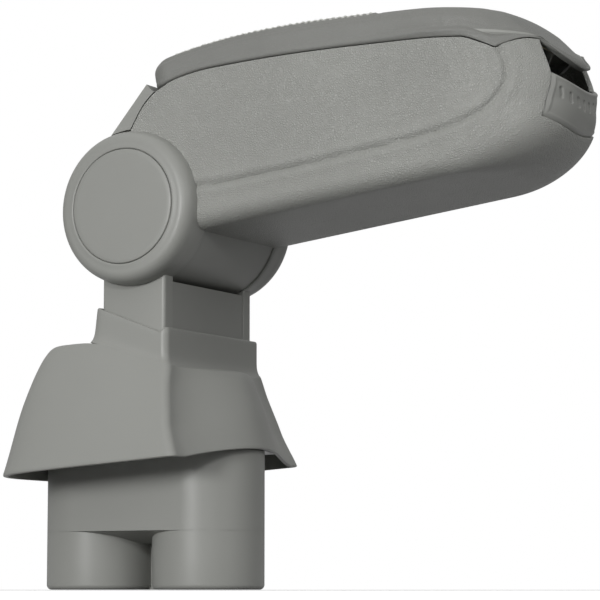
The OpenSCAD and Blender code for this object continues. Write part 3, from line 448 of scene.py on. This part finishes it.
def shell_skin():
    """Outer skin of the box as a grid: rows from the underside's middle up to the rim.
    Underside rows stand at angle a from 90 to 0 degrees; z = mix(floor + r (1 - sin a), 12 - 32.5 sin a, k)
    with k the share of the way round the nose. Row J follows the mouth's lower edge, and the faces above it
    are left out there.
    One station on each side follows the mouth's slanted end."""
    ct = math.asin((MOUTH / HALF) ** (N / 2))
    u, t = stations(86, 96, corner_t=ct)
    nu = len(u)

    def bent(zh):
        """The nose angles with the marked station moved to the mouth's end at height zh."""
        new = math.asin((float(mouth_half(zh)) / HALF) ** (N / 2))
        tt = np.interp(-t, [0, ct, np.pi / 2], [0, new, np.pi / 2])
        frac = np.concatenate([np.zeros(nu), np.cos(tt) ** (2 / N)])
        return tt, np.sqrt(frac * frac * (3 - 2 * frac))
    rows = []
    t0, k0 = bent(0.0)
    x0, y0 = outline(HALF, NOSE, 4.0, u, t0)
    z_cut = LOW - DIP * np.maximum(0, 1 - (y0 / (MOUTH + SPLAY)) ** 2)
    s_cut = ((-10.5 * (1 - k0) + 12 * k0) - z_cut) / (10 * (1 - k0) + 32.5 * k0)
    w = ramp(-y0, -48, -36) * (x0 > START)
    a_cut = np.arcsin(np.clip(mix(math.sin(math.radians(15)), s_cut, w), 0.02, 0.98))
    for q in np.concatenate([[0.0], np.linspace(0.04, 0.97, 9)]):
        x, y = outline(HALF - EDGE, 18.0, 4.0, u, t0)
        rows.append(full_ring(x, y * q, np.full_like(x, FLOOR)))
    na, nb, nw = 30, 8, 62

    def under(a, tt, k):
        length = 18 + 52 * np.maximum(np.cos(a), 0) ** 0.9
        half = HALF - EDGE * (1 - np.cos(a))
        x = np.concatenate([mix(4.0, START, u), START + length[nu:] * np.cos(tt) ** (2 / N)])
        y = np.concatenate([half[:nu], half[nu:] * np.sin(tt) ** (2 / N)])
        z = mix(FLOOR + EDGE * (1 - np.sin(a)), 12 - 32.5 * np.sin(a), k)
        x = np.where(x > START, START + (x - START) * (1 + 0.01 * np.cos(a)), x)
        return full_ring(x, y, z)
    for q in np.linspace(0, 1, na, endpoint=False):
        rows.append(under(mix(math.pi / 2, a_cut, q), t0, k0))
    J = len(rows)
    for q in np.linspace(0, 1, nb, endpoint=False):
        tt, k = bent(mix(LOW, 11.5, q))
        rows.append(under(mix(a_cut, 0.0, q), tt, k))
    for q in np.linspace(0, 1, nw):
        tt, k = bent(mix(11.5, 48.0, q))
        x1, y1 = outline(HALF, NOSE, 4.0, u, tt)
        z = mix(mix(FLOOR + EDGE, 12.0, k), rim(x1) - 0.7 * (1 - ramp(x1, 29, 36)), q)
        rows.append(full_ring(lean(x1, z), y1, z))
    P = np.array(rows)
    half_n = nu + len(t)
    i0 = nu + int(np.argmin(np.abs(t + ct)))
    return P, J, i0, 2 * half_n - 1 - i0


def build_shell():
    P, J, i0, i1 = shell_skin()
    rows, cols = P.shape[:2]
    # The pad's outline is a soft channel with a rounded far lip
    side = (np.abs(P[..., 1]) > 26) & (P[..., 2] > FLOOR + 3)
    d = line_distance(P[..., 0], P[..., 2])
    du, dv = np.gradient(P, axis=1), np.gradient(P, axis=0)
    nrm = np.cross(du, dv)
    nrm /= np.maximum(np.linalg.norm(nrm, axis=-1, keepdims=True), 1e-9)
    cut = -1.35 * np.exp(-(d / 1.45) ** 2) + 0.5 * np.exp(-((d - 4.4) / 2.6) ** 2)
    P = P + nrm * (cut * side)[..., None]
    keep = lambda j, i: ~((j >= J) & (i >= i0) & (i < i1))
    ob = make("box_shell", to_world(P), grid_faces(rows, cols, keep=keep))
    m = ob.modifiers.new("Wall", "SOLIDIFY")
    m.thickness = WALL * MM
    m.offset = -1
    m.use_even_offset = False
    bevel(ob, 0.7, 2, 50)
    n = 256
    t = np.linspace(0, 2 * np.pi, n, endpoint=False)
    ring = np.stack([AX + 48.7 * np.cos(t), 0 * t, AZ + 48.7 * np.sin(t)], -1)
    lo, hi = ring.copy(), ring.copy()
    lo[:, 1], hi[:, 1] = -70, 70
    cutter = make("arc_cutter", np.concatenate([lo, hi]) * MM, prism_faces(n), smooth=False)
    b = ob.modifiers.new("Arc", "BOOLEAN")
    b.object = cutter
    b.operation = "DIFFERENCE"
    b.solver = "EXACT"
    apply_all(ob)
    bpy.data.objects.remove(cutter)
    return dress(ob, M_GRAIN, "arm", "arm_shell")


def apply_all(ob):
    bpy.context.view_layer.objects.active = ob
    for o in bpy.context.selected_objects:
        o.select_set(False)
    ob.select_set(True)
    for m in list(ob.modifiers):
        bpy.ops.object.modifier_apply(modifier=m.name)


build_shell()

# The padded lid

PIN_X, PIN_Z, SWEEP = 29.5, 75.5, 9.6
LID_REAR = PIN_X - SWEEP


def lid_low(x, y, cut=6.4):
    return (rim(np.maximum(x, PIN_X), cut) + 0.8
            - 14 * (1 - np.minimum(1, np.abs(y) / (MOUTH - 1.5)) ** 2) * ramp(x, 250, 268))


def lid_top(x, y):
    """Height of the lid's top; towards the nose it falls off to both sides."""
    return curve(TOP, x) - 4.2 * (np.abs(y) / 47) ** 2 * ramp(x, 235, 262)


def rear_end(k):
    """How far back the lid's rear stands at share k of its height: round the hinge pin below, upright above."""
    z = mix(71.0, 83.0, k)
    return PIN_X - math.sqrt(SWEEP**2 - max(0.0, PIN_Z - z) ** 2)


def lid_skin():
    """The lid's outer skin: rows run from the return under its edge, round the side, over to the top's middle.
    A row is the outline set in by t at share k of the height between the lower edge and the top curve."""
    u, t = stations(150, 110)
    way = np.array([[4, 0.0], [2.4, -0.004], [0.9, 0.0], [0.25, 0.045], [0, 0.12], [-0.05, 0.3], [0.05, 0.5],
                    [0.5, 0.66], [1.3, 0.79], [2.2, 0.875], [3.4, 0.935], [5.0, 0.975], [7.0, 1.0]])
    s = np.arange(len(way))
    q = np.linspace(0, len(way) - 1, 72)
    T, K = curve(np.column_stack([s, way[:, 0]]), q), curve(np.column_stack([s, way[:, 1]]), q)
    rows, tags = [], []
    for j, (tt, kk) in enumerate(zip(T, K)):
        back = rear_end(kk) + tt + (4.0 * max(0.0, tt - 1) / 3 if j < 12 else 0.0)
        power = mix(N, 1.95, min(1.0, max(0.0, kk / 0.5)))
        x, y = outline(HALF - tt, NOSE - tt, back, u, t, corner=max(4, 14 - tt), n=power)
        z = mix(lid_low(x, y), lid_top(x, y), kk)
        rows.append(full_ring(lean(x, z), y, z))
        tags.append(kk)
    for w in np.concatenate([np.linspace(1, 0.2, 40)[1:], [0.13, 0.07, 0.02, 0.0]]):
        x, y = outline(HALF - 7, NOSE - 7, LID_REAR + 7, u, t, corner=7, n=1.95)
        x = mix(150, x, 1 - 0.07 * (1 - w))
        wt = ramp(x, LID_REAR + 4, LID_REAR + 45) * (1 - ramp(x, START - 5, START + NOSE - 10))
        z = lid_top(x, y * w) + 2.5 * (1 - w * w) * wt
        rows.append(full_ring(lean(x, z), y * w, z))
        tags.append(2 - w)
    return np.array(rows), np.array(tags), len(T)


def on_grid(P, r, i):
    """Points of the grid P at fractional rows r and whole stations i."""
    j = np.clip(np.floor(r).astype(int), 0, P.shape[0] - 2)
    f = (r - j)[:, None]
    return P[j, i] * (1 - f) + P[j + 1, i] * f


def seam_course(P, top_row):
    """The seam's course on one side: along the top edge, then down the front corner to the lower edge."""
    cols = P.shape[1] // 2
    y = np.abs(P[0, :cols, 1])
    x = P[0, :cols, 0]
    i = np.arange(cols)
    use = (x < START) | (y > 33.2)
    i = i[use]
    w = ramp(-np.abs(P[0, i, 1]) * (x[i] > START) - 99 * (x[i] <= START), -50.5, -33.2) ** 1.35
    return on_grid(P, top_row * (1 - w), i)


def curve_distance(pts, line):
    """Distance from each point to the polyline; points well away from it stay at a large value."""
    q = pts.reshape(-1, 3)
    best = np.full(len(q), 1e9)
    for a, b in zip(line[:-1], line[1:]):
        d = b - a
        near = np.abs(q - (a + b) / 2).max(1) < 9 + np.linalg.norm(d)
        if not near.any():
            continue
        w = q[near] - a
        f = np.clip(w @ d / max(d @ d, 1e-12), 0, 1)
        e = w - f[:, None] * d
        r = np.linalg.norm(e, axis=1)
        best[near] = np.minimum(best[near], r)
    return best.reshape(pts.shape[:-1])


def normals(P):
    n = np.cross(np.gradient(P, axis=1), np.gradient(P, axis=0))
    return n / np.maximum(np.linalg.norm(n, axis=-1, keepdims=True), 1e-9)


def build_lid():
    P, tags, edge_rows = lid_skin()
    rows, cols = P.shape[:2]
    nrm = normals(P)
    k = np.array([min(v, 1.0) for v in tags])[:, None] + np.zeros((1, cols))
    x = P[..., 0]
    # A soft crease runs along the side above its lower edge; the padding swells above it
    at = mix(0.24, 0.33, ramp(x, 150, 238))
    deep = mix(0.15, 0.45, ramp(x, 120, 235))
    crease = -deep * np.exp(-((k - at) / 0.07) ** 2)
    belly = (0.5 * np.exp(-((k - 0.66) / 0.18) ** 2)
             + mix(0.25, 0.85, ramp(x, 130, 230)) * np.exp(-((k - at + 0.13) / 0.085) ** 2))
    level = (k > 0.02) & (np.arange(rows)[:, None] < edge_rows)
    move = np.where(level, crease + belly, 0)
    # The seam: a groove between two raised rows, along the top edge and down the front corner
    top_row = float(np.argmin(np.abs(tags - 0.965)))
    lines = []
    half = cols // 2
    for part in (0, 1):
        Q = P[:, :half] if part == 0 else P[:, ::-1][:, :half]
        lines.append(seam_course(Q, top_row))
        d = curve_distance(P, lines[-1])
        move += ramp(x, 24, 38) * (0.55 * np.exp(-((d - 1.9) / 0.9) ** 2) - 1.1 * np.exp(-(d / 0.85) ** 2)
                 - 0.4 * np.exp(-((d - 4.2) / 1.0) ** 2))
    # The rolled lip along the front's lower edge
    front = ramp(x, 255, 266) * ramp(-np.abs(P[..., 1]), -MOUTH - 9, -MOUTH + 4)
    move += front * (0.55 * np.exp(-((k - 0.10) / 0.07) ** 2) - 0.45 * np.exp(-((k - 0.27) / 0.05) ** 2))
    base = P + nrm * move[..., None]
    ob = make("lid_cover_pad", to_world(base), grid_faces(rows, cols, loop_u=True), angle=60)
    m = ob.modifiers.new("Wall", "SOLIDIFY")
    m.thickness = LINING * MM
    m.offset = -1
    apply_all(ob)
    dress(ob, M_COVER, "lid", "lid_cover")
    # Stitches lie along the raised rows' crests; none near the hinge pin, where the lid turns past the hub
    pitch, row = 4.0, 1.9
    flat, fn = base.reshape(-1, 3), nrm.reshape(-1, 3)
    parts = []
    for line in lines:
        seg = np.linalg.norm(np.diff(line, axis=0), axis=1)
        cum = np.concatenate([[0], np.cumsum(seg)])
        count = int(cum[-1] / pitch)
        for h in (np.arange(count) + 0.5) * cum[-1] / count:
            c = np.array([np.interp(h, cum, line[:, i]) for i in range(3)])
            if c[0] < 38:
                continue
            e = np.array([np.interp(h + 1, cum, line[:, i]) for i in range(3)]) - c
            e /= np.linalg.norm(e)
            n = fn[np.argmin(((flat - c) ** 2).sum(1))]
            across = np.cross(n, e)
            for off in (-row, row):
                o = c + across * off
                near = np.argmin(((flat - o) ** 2).sum(1))
                o = flat[near] + (o - flat[near]) * 0.5
                parts.append(stitch(to_world(o - e * 1.3), to_world(o + e * 1.3), turn(fn[near])))
    th = join("lid_stitches", parts, angle=80)
    dress(th, M_THREAD, "lid", None)
    return ob


def build_foam():
    """The pad's foam: the cover's skin set in by 2.2 mm, from the hinge blocks forward."""
    P, tags, _ = lid_skin()
    deep = 2.2 + 0.9 * (tags < 0.9)
    Q = (P - normals(P) * deep[:, None, None])[(tags > 0.42) & (tags < 1.96)][::3]
    Q[..., 0] = np.maximum(Q[..., 0], 43)
    rows, cols = Q.shape[:2]
    f = grid_faces(rows, cols, loop_u=True).tolist()
    half = cols // 2
    for j, flip in ((0, True), (rows - 1, False)):
        for i in range(half - 1):
            g = [j * cols + i, j * cols + i + 1, j * cols + cols - 2 - i, j * cols + cols - 1 - i]
            f.append(g[::-1] if flip else g)
    ob = make("lid_foam_block", to_world(Q), f, angle=60)
    dress(ob, M_FOAM, "lid", "lid_foam")


def turn(n):
    """A direction from the arm's frame to the row frame."""
    c, s = math.cos(TILT), math.sin(TILT)
    return np.array([c * n[0] - s * n[2], n[1], s * n[0] + c * n[2]])


def stitch(a, b, n, r=0.00048):
    """A thread's short bridge from a to b, bowed out along n: rings of six round a half-sine path."""
    d = (b - a) / np.linalg.norm(b - a)
    e = np.cross(d, n)
    q = np.linspace(0, 1, 5)
    lift = (np.sin(np.pi * q) * 0.00035 - 0.00018)[:, None]
    mid = a + (b - a) * q[:, None] + n * lift
    ang = np.arange(6) * np.pi / 3
    w = np.array([0.55, 1, 1, 1, 0.55])[:, None, None] * r
    ring = mid[:, None] + w * (np.cos(ang)[None, :, None] * n + np.sin(ang)[None, :, None] * -e)
    f = grid_faces(5, 6, loop_u=True).tolist()
    return ring.reshape(-1, 3), f + [[5, 4, 3, 2, 1, 0], [24, 25, 26, 27, 28, 29]]


build_lid()
build_foam()

# The latch


def nose_x(y, z):
    """How far forward the nose's surface stands at y and z."""
    low = np.maximum(0, (12 - z) / 32.5) ** 2.2
    inside = np.maximum(0, 1 - (np.abs(y) / HALF) ** N - low)
    return START + NOSE * curve(REACH, z) * inside ** (1 / N)


def build_latch():
    """The latch's face, a patch of the nose with a row of sunk grip slots, and the lever behind it."""
    ny, nz = 220, 96
    u = np.linspace(-1, 1, ny)[None] + np.zeros((nz, 1))
    v = np.linspace(0, 1, nz)[:, None] + np.zeros((1, ny))
    wide = MOUTH - 0.5 + SPLAY * (1 - v) ** 1.3
    y = u * wide
    z = mix(4.1, 28.5, v) - DIP * (1 - u * u)
    x = nose_x(y, z) - 0.3
    edge = np.minimum(np.minimum((1 - np.abs(u)) * wide, v * 24.4), (1 - v) * 24.4)
    x -= 1.3 * (1 - np.sqrt(np.clip(1 - (1 - np.clip(edge / 1.3, 0, 1)) ** 2, 0, 1)))
    x += 0.5 * np.exp(-((edge - 1.9) / 0.9) ** 2)
    slots, pitch = 8, 7.25
    for i in range(slots):
        yc = (i - (slots - 1) / 2) * pitch
        zc = 28.5 - DIP * (1 - (yc / MOUTH) ** 2) - 9.0
        a, b = y - yc + 0.16 * (z - zc), z - zc
        r = np.hypot(a, np.maximum(0, np.abs(b) - 2.0))
        x -= 1.6 * np.clip(1.25 * (1 - (r / 1.45) ** 2), 0, 1) ** 0.75
    front = np.stack([x, y, z], -1)
    back = np.stack([nose_x(y, z) - 2.9, y, z], -1)
    n = nz * ny
    f = grid_faces(nz, ny)
    loop = list(range(ny)) + [j * ny + ny - 1 for j in range(1, nz)]
    loop += [(nz - 1) * ny + i for i in range(ny - 2, -1, -1)] + [j * ny for j in range(nz - 2, 0, -1)]
    sides = [[b, a, a + n, b + n] for a, b in zip(loop, loop[1:] + loop[:1])]
    faces = f.tolist() + (f[:, ::-1] + n).tolist() + sides
    ob = make("latch_face", to_world(np.concatenate([front.reshape(-1, 3), back.reshape(-1, 3)])), faces)
    dress(ob, M_LATCH, "latch", None)
    # The lever behind the face: knuckles on the pin, ribs and the finger with its tooth
    parts = []
    c, s = math.cos(TILT), math.sin(TILT)
    px, pz = AX + c * 251, AZ + s * 251
    for yc, hw in ((-23, 3), (0, 5), (23, 3)):
        parts.append(lathe_y([(1.56, yc - hw), (3.4, yc - hw), (3.4, yc + hw), (1.56, yc + hw)], px, pz, 64))
        tip = float(nose_x(np.array(abs(yc)), np.array(2.0))) - 1.6
        v, g = prism([[253.5, 1.0], [tip, 1.0], [tip, 3.4], [253.5, 3.4]], yc - 2, yc + 2, "y")
        parts.append((to_world(v), g))
    finger = [[249, -1.5], [249, 1.5], [245, 1.5], [245, 15.5], [247.5, 16.8], [245, 18], [242.5, 18],
              [242.5, -1.5]]
    v, g = prism(finger, -5, 5, "y")
    parts.append((to_world(v), g))
    lever = join("latch_lever_back", parts)
    dress(lever, M_LATCH, "latch", "latch_lever")


build_latch()

# The hood


def spow(v, e):
    return np.sign(v) * np.abs(v) ** e


# The hood: its rise by share f and draw-in g, the half lengths and widths of hood and collar, and the front
# corner's x at share f
HOOD = [[0, 0], [0.10, 0.035], [0.35, 0.115], [0.50, 0.17], [0.65, 0.24], [0.80, 0.32],
        [0.92, 0.405], [0.985, 0.50], [1, 0.68], [1.01, 0.93]]
HOOD_L, HOOD_W, CD, CW = 77, 75.5, 25.8, 54.8
RIDGE = [[0, 59.9], [0.1, 57.8], [0.22, 55.0], [0.35, 52.3], [0.5, 50.2], [0.65, 48.0], [0.8, 46.0],
         [0.92, 45.0], [1.0, 44.3]]


def shoulder(x):
    """Height at which the hood meets the collar."""
    return mix(147, 131.5, ramp(x, AX - CD - 6, AX + CD + 6))


def hood_edge(x, y):
    """Height of the hood's lower edge; it arches over the front."""
    return (73.6 + 0.068 * (x - AX)
            + 6 * (1 - np.minimum(1, np.abs(y) / 62.35) ** 2) * ramp(x, 42.35, 61.6))


def hood_angles(n=256):
    """n angles round a ring, from a quarter turn back, none of them on an axis."""
    t = np.linspace(0, np.pi / 2, n // 4, endpoint=False) + np.pi / n
    return np.concatenate([t - np.pi / 2, t, t + np.pi / 2, t + np.pi])


def front_half(c, ridge, tip, b, r):
    """A ring's front half: from (c, -b) along the side, round the corner, over the swelling front and back."""
    s, a, u = ((np.arange(k) + 0.5) / k for k in (16, 12, 36))
    a = a * np.pi / 2
    x = np.concatenate([mix(c, ridge - r, s), ridge - r + r * np.sin(a), mix(ridge, tip, ramp(u, 0, 1))])
    y = np.concatenate([np.full(16, -b), -b + r - r * np.cos(a), -(b - r) * (1 - u)])
    return np.concatenate([x, x[::-1]]), np.concatenate([y, -y[::-1]])


def hood_row(f, g, t, q):
    """The hood's ring at rise f and draw-in g, set in by t; q are its angles."""
    n = 5 + 3.5 * f * f
    tip, xr = mix(HOOD_L, AX + CD, g) - t, mix(-HOOD_L, AX - CD, g) + t
    ridge = min(float(curve(RIDGE, min(f, 1.0))) - t, tip - 0.05)
    b = mix(HOOD_W, CW + 1.5, min(1, f)) + 1.2 * math.sin(math.pi * min(1, f)) - t
    c, a = (tip + xr) / 2, (tip - xr) / 2
    x, y = c + a * spow(np.cos(q), 2 / n), b * spow(np.sin(q), 2 / n)
    x[:128], y[:128] = front_half(c, ridge, tip, b, max(1.5, 4.5 - t))
    return np.stack([x, y, mix(hood_edge(x, y), shoulder(x), min(f, 1)) - t * f], -1)


def collar_top(x):
    return (mix(169, 151.5, np.clip((x - AX + CD) / (2 * CD - 5), 0, 1))
            + 3 * ramp(x, AX + CD - 6, AX + CD - 0.5))


def collar_row(k, t, flare, q, n=14):
    """The collar's ring at share k of its height, set in by t and flared at its foot."""
    a, b = CD - t + flare, CW - t + flare * 0.6
    c = np.cos(q)
    x = AX + a * spow(c, 2 / n) - np.where(c < 0, 2.5 * (1 - k), 0)
    y = b * spow(np.sin(q), 2 / n)
    x[:128], y[:128] = front_half(AX, AX + a, AX + a, b, max(1.5, 4.0 - 0.5 * t))
    return np.stack([x, y, mix(shoulder(x) - t, collar_top(x), k)], -1)


def build_hood():
    """The hood and its collar: rings from the lower edge up the hood and the collar, and back inside."""
    q = hood_angles()
    s = np.arange(len(HOOD))
    w = np.linspace(0, len(HOOD) - 1, 80)
    F, Gp = (curve(np.column_stack([s, [p[i] for p in HOOD]]), w) for i in (0, 1))
    F = np.clip(F, 0, 1.01)
    outer = [hood_row(f, g, 0, q) for f, g in zip(F, Gp)]
    # A narrow bevel along the lower edge
    edge = [hood_row(0.0, 0.0, 1.1, q), hood_row(0.004, 0.0, 0.5, q), hood_row(0.012, 0.004, 0.12, q)]
    outer = edge + [r for r, f in zip(outer, F) if f > 0.02]
    # The collar: its flared foot, its upright wall and its rounded top edge
    flare = ((0.03, 2.0), (0.07, 1.3), (0.12, 0.8), (0.19, 0.38), (0.28, 0.1), (0.4, 0), (0.6, 0), (0.8, 0),
             (0.93, 0), (0.965, -0.12), (0.985, -0.35), (1.0, -0.8))
    col = [collar_row(k, 0, fl, q) for k, fl in flare]
    inner = [collar_row(k, t, 0, q, n) for k, t, n in ((1.0, 1.9, 20), (0.985, 2.3, 24), (0.95, SKIN, 24),
                                                       (0.3, SKIN, 24), (0.0, SKIN, 24))]
    inside = [hood_row(f, g, SKIN, q) for f, g in zip(F[::-1], Gp[::-1]) if f < 1.0]
    rows = outer + col + inner + inside[::2]
    P = np.array(rows)
    ob = make("hood", P * MM, grid_faces(P.shape[0], P.shape[1], loop_u=True, loop_v=True), angle=38)
    parts = [lathe_z([(1.6, 87), (4.5, 87), (4.5, z), (1.6, z)], x, y, 32)
             for x, z in ((-24.8, 145.5), (49.8, 130.0)) for y in (-20.4, 20.4)]
    posts = join("hood_posts", parts)
    dress(posts, M_SHELL, "base", None)
    return dress(ob, M_SHELL, "base", "skirt_shroud")


def build_plug():
    """The plug: two hollow lobes, the web between them and the common body, straight up into the hood."""
    r_out, r_in, at, shelf, lap, top = 34, 34 - SKIN, 38.25, 35, 35.2, 84
    foot = [(r_out - 3 * (1 - math.sin(a)), 3 * (1 - math.cos(a))) for a in np.linspace(0, math.pi / 2, 9)]
    wall = [(POLE, 0)] + foot + [(r_out, 20), (r_out, lap), (r_in, lap), (r_in, SKIN), (POLE, SKIN)]
    parts = [lathe_z(wall, x, 0, 192) for x in (-at, at)]
    # The web and the sloped underside of the shelf, each carried from lobe to lobe
    for poly in ([[2.5, 0], [9, 0], [9, lap], [2.5, lap]],
                 [[-9, 28], [9, 28], [r_out, shelf], [r_out, lap], [-r_out, lap], [-r_out, shelf]]):
        p = np.array([[x, y, z] for x in (-at, at) for y, z in poly], float)
        parts.append((p * MM, prism_faces(len(poly))))
    a = np.linspace(-np.pi / 2, np.pi / 2, 97)
    rows = []
    for r, z in ((r_out, shelf), (r_out, 60), (r_out, top - 0.8), (r_out - 0.6, top), (r_in, top), (r_in, 60),
                 (r_in, shelf)):
        x = np.concatenate([at + r * np.cos(a), -at - r * np.cos(a)])
        y = np.concatenate([r * np.sin(a), -r * np.sin(a)])
        rows.append(np.stack([x, y, np.full_like(x, z)], -1))
    P = np.array(rows)
    parts.append((P * MM, grid_faces(len(rows), P.shape[1], loop_u=True, loop_v=True)))
    # The deck plate, its front corners trimmed to stay behind the hood's front
    out = [[64, -24], [64, 24], [52, 58], [44, 61.5], [-46, 61.5], [-60, 55.6], [-66, 41.5], [-66, -41.5],
           [-60, -55.6], [-46, -61.5], [44, -61.5], [52, -58]]
    v, f = prism(rounded(out, 6), top, top + 3, "z")
    dress(make("deck", v * MM, f, angle=30), M_STEEL, "base", "deck_plate")
    ob = join("plug_body", parts, angle=32)
    return dress(ob, M_SHELL, "base", "cup_plug")


build_hood()
build_plug()

# Disc housings, post covers and caps


def build_cover(side, label):
    arc = [(38 + 8.4 * math.cos(a) ** 0.75, 51.5 + 12.7 * math.sin(a) ** 0.75)
           for a in np.linspace(0, math.pi / 2, 34)]
    prof = [(44, 41.6), (46.3, 41.6), (46.75, 41.75), (46.9, 42.1), (46.85, 45), (46.5, 49)] + arc
    prof += [(36.4, 64.5), (35.6, 64.6), (35.15, 64.5), (34.85, 64.25), (34.7, 63.9), (34.6, 63.4),
             (34.6, 62.6), (26.4, 62.6), (26.4, 59.6), (34.6, 59.6), (41, 58), (44, 51)]
    v, f = lathe_y(prof, AX, AZ, 256, side)
    f = f[:, ::-1]
    parts = [(v, f)]
    # The channel of the post: outer corners rounded, open towards the middle
    channel = [[AX + 19, 41.6], [AX + 22, 41.6], [AX + 22, 51], [AX - 22, 51], [AX - 22, 41.6], [AX - 19, 41.6],
               [AX - 19, 48], [AX + 19, 48]]
    out = rounded(channel, [0.3, 0.5, 2.2, 2.2, 0.5, 0.3, 0, 0])
    out = out * [1, side]
    v, f = prism(out, 87, 187, "z")
    parts.append((v * MM, f))
    ob = join(f"post_cover_{label}_skin", parts, angle=32)
    return dress(ob, M_SHELL, "base", f"post_cover_{label}")


def build_cap(side, label):
    prof = [(POLE, 62.6), (34.3, 62.6), (34.4, 62.8), (34.44, 64.0), (34.34, 64.35), (34.05, 64.6),
            (33.5, 64.75), (31, 64.8), (POLE, 64.8)]
    v, f = lathe_y(prof, AX, AZ, 256, side)
    f = f[:, ::-1]
    tube = lathe_y([(24.4, 57.6), (26.2, 57.6), (26.2, 62.61), (24.4, 62.61)], AX, AZ, 128, side)
    ob = join(f"hub_cap_{label}_skin", [(v, f), (tube[0], tube[1][:, ::-1])], angle=40)
    return dress(ob, M_SHELL, "base", f"hub_cap_{label}")


for sd, lb in ((-1.0, "right"), (1.0, "left")):
    build_cover(sd, lb)
    build_cap(sd, lb)

# Stage, lights and camera


SKY_LOW, SKY_TOP = 0.20, 0.72


def build_stage():
    w = bpy.data.worlds.new("World")
    bpy.context.scene.world = w
    w.use_nodes = True
    nt = w.node_tree
    nt.nodes.clear()
    out = nt.nodes.new("ShaderNodeOutputWorld")
    lit = nt.nodes.new("ShaderNodeBackground")
    seen = nt.nodes.new("ShaderNodeBackground")
    seen.inputs["Color"].default_value = (1, 1, 1, 1)
    seen.inputs["Strength"].default_value = 1.0
    sep = nt.nodes.new("ShaderNodeSeparateXYZ")
    tc = nt.nodes.new("ShaderNodeTexCoord")
    nt.links.new(tc.outputs["Generated"], sep.inputs["Vector"])
    lvl = scaled(nt, sep.outputs["Z"], 0.0, 1.0, SKY_LOW, SKY_TOP)
    nt.links.new(lvl, lit.inputs["Strength"])
    lit.inputs["Color"].default_value = (1, 1, 1, 1)
    lp = nt.nodes.new("ShaderNodeLightPath")
    mixer = nt.nodes.new("ShaderNodeMixShader")
    seen_by = maths(nt, "MAXIMUM", lp.outputs["Is Camera Ray"], lp.outputs["Is Transmission Ray"])
    nt.links.new(seen_by, mixer.inputs["Fac"])
    nt.links.new(lit.outputs["Background"], mixer.inputs[1])
    nt.links.new(seen.outputs["Background"], mixer.inputs[2])
    nt.links.new(mixer.outputs["Shader"], out.inputs["Surface"])


def area(name, at, look, size, watts):
    d = bpy.data.lights.new(name, "AREA")
    d.shape = "DISK"
    d.size = size
    d.energy = watts
    o = bpy.data.objects.new(name, d)
    bpy.context.scene.collection.objects.link(o)
    o.location = at
    v = mathutils.Vector(look) - mathutils.Vector(at)
    o.rotation_euler = v.to_track_quat("-Z", "Y").to_euler()
    return o


build_stage()
floor_v = np.array([[-4, -4, -0.0006], [4, -4, -0.0006], [4, 4, -0.0006], [-4, 4, -0.0006]])
floor = make("floor", floor_v, [[0, 1, 2, 3]], smooth=False)


def floor_tone(nt, b, vec):
    """Pale to the eye; darker in what it throws back on the object."""
    lp = nt.nodes.new("ShaderNodeLightPath")
    seen = maths(nt, "MAXIMUM", lp.outputs["Is Camera Ray"], lp.outputs["Is Glossy Ray"])
    tint(nt, b, seen, (0.055, 0.055, 0.055), (0.86, 0.86, 0.86))
    b.inputs["Emission Color"].default_value = (1, 1, 1, 1)
    nt.links.new(maths(nt, "MULTIPLY", lp.outputs["Is Camera Ray"], 0.3), b.inputs["Emission Strength"])


M_FLOOR = material("floor_white", (0.82, 0.82, 0.82), 0.9, floor_tone)
floor.data.materials.append(M_FLOOR)
# name, place, what it looks at, size in metres, watts
area("key", (-0.10, -2.2, 0.50), (0.10, 0, 0.20), 0.5, 23.5)
area("spark", (1.05, -1.75, 0.75), (0.20, 0, 0.24), 0.22, 7)
area("fill", (2.0, -0.5, 0.9), (0.15, 0, 0.22), 1.0, 6)

cam_data = bpy.data.cameras.new("Camera")
cam_data.lens = 150
cam_data.sensor_width = 36
cam = bpy.data.objects.new("Camera", cam_data)
bpy.context.scene.collection.objects.link(cam)
cam.location = (0.8224, -1.3004, 0.00027)
cam.rotation_euler = (math.radians(96.6), 0, math.radians(29.0))
cam_data.clip_start = 0.01
bpy.context.scene.camera = cam
bpy.context.scene.view_settings.view_transform = "Standard"
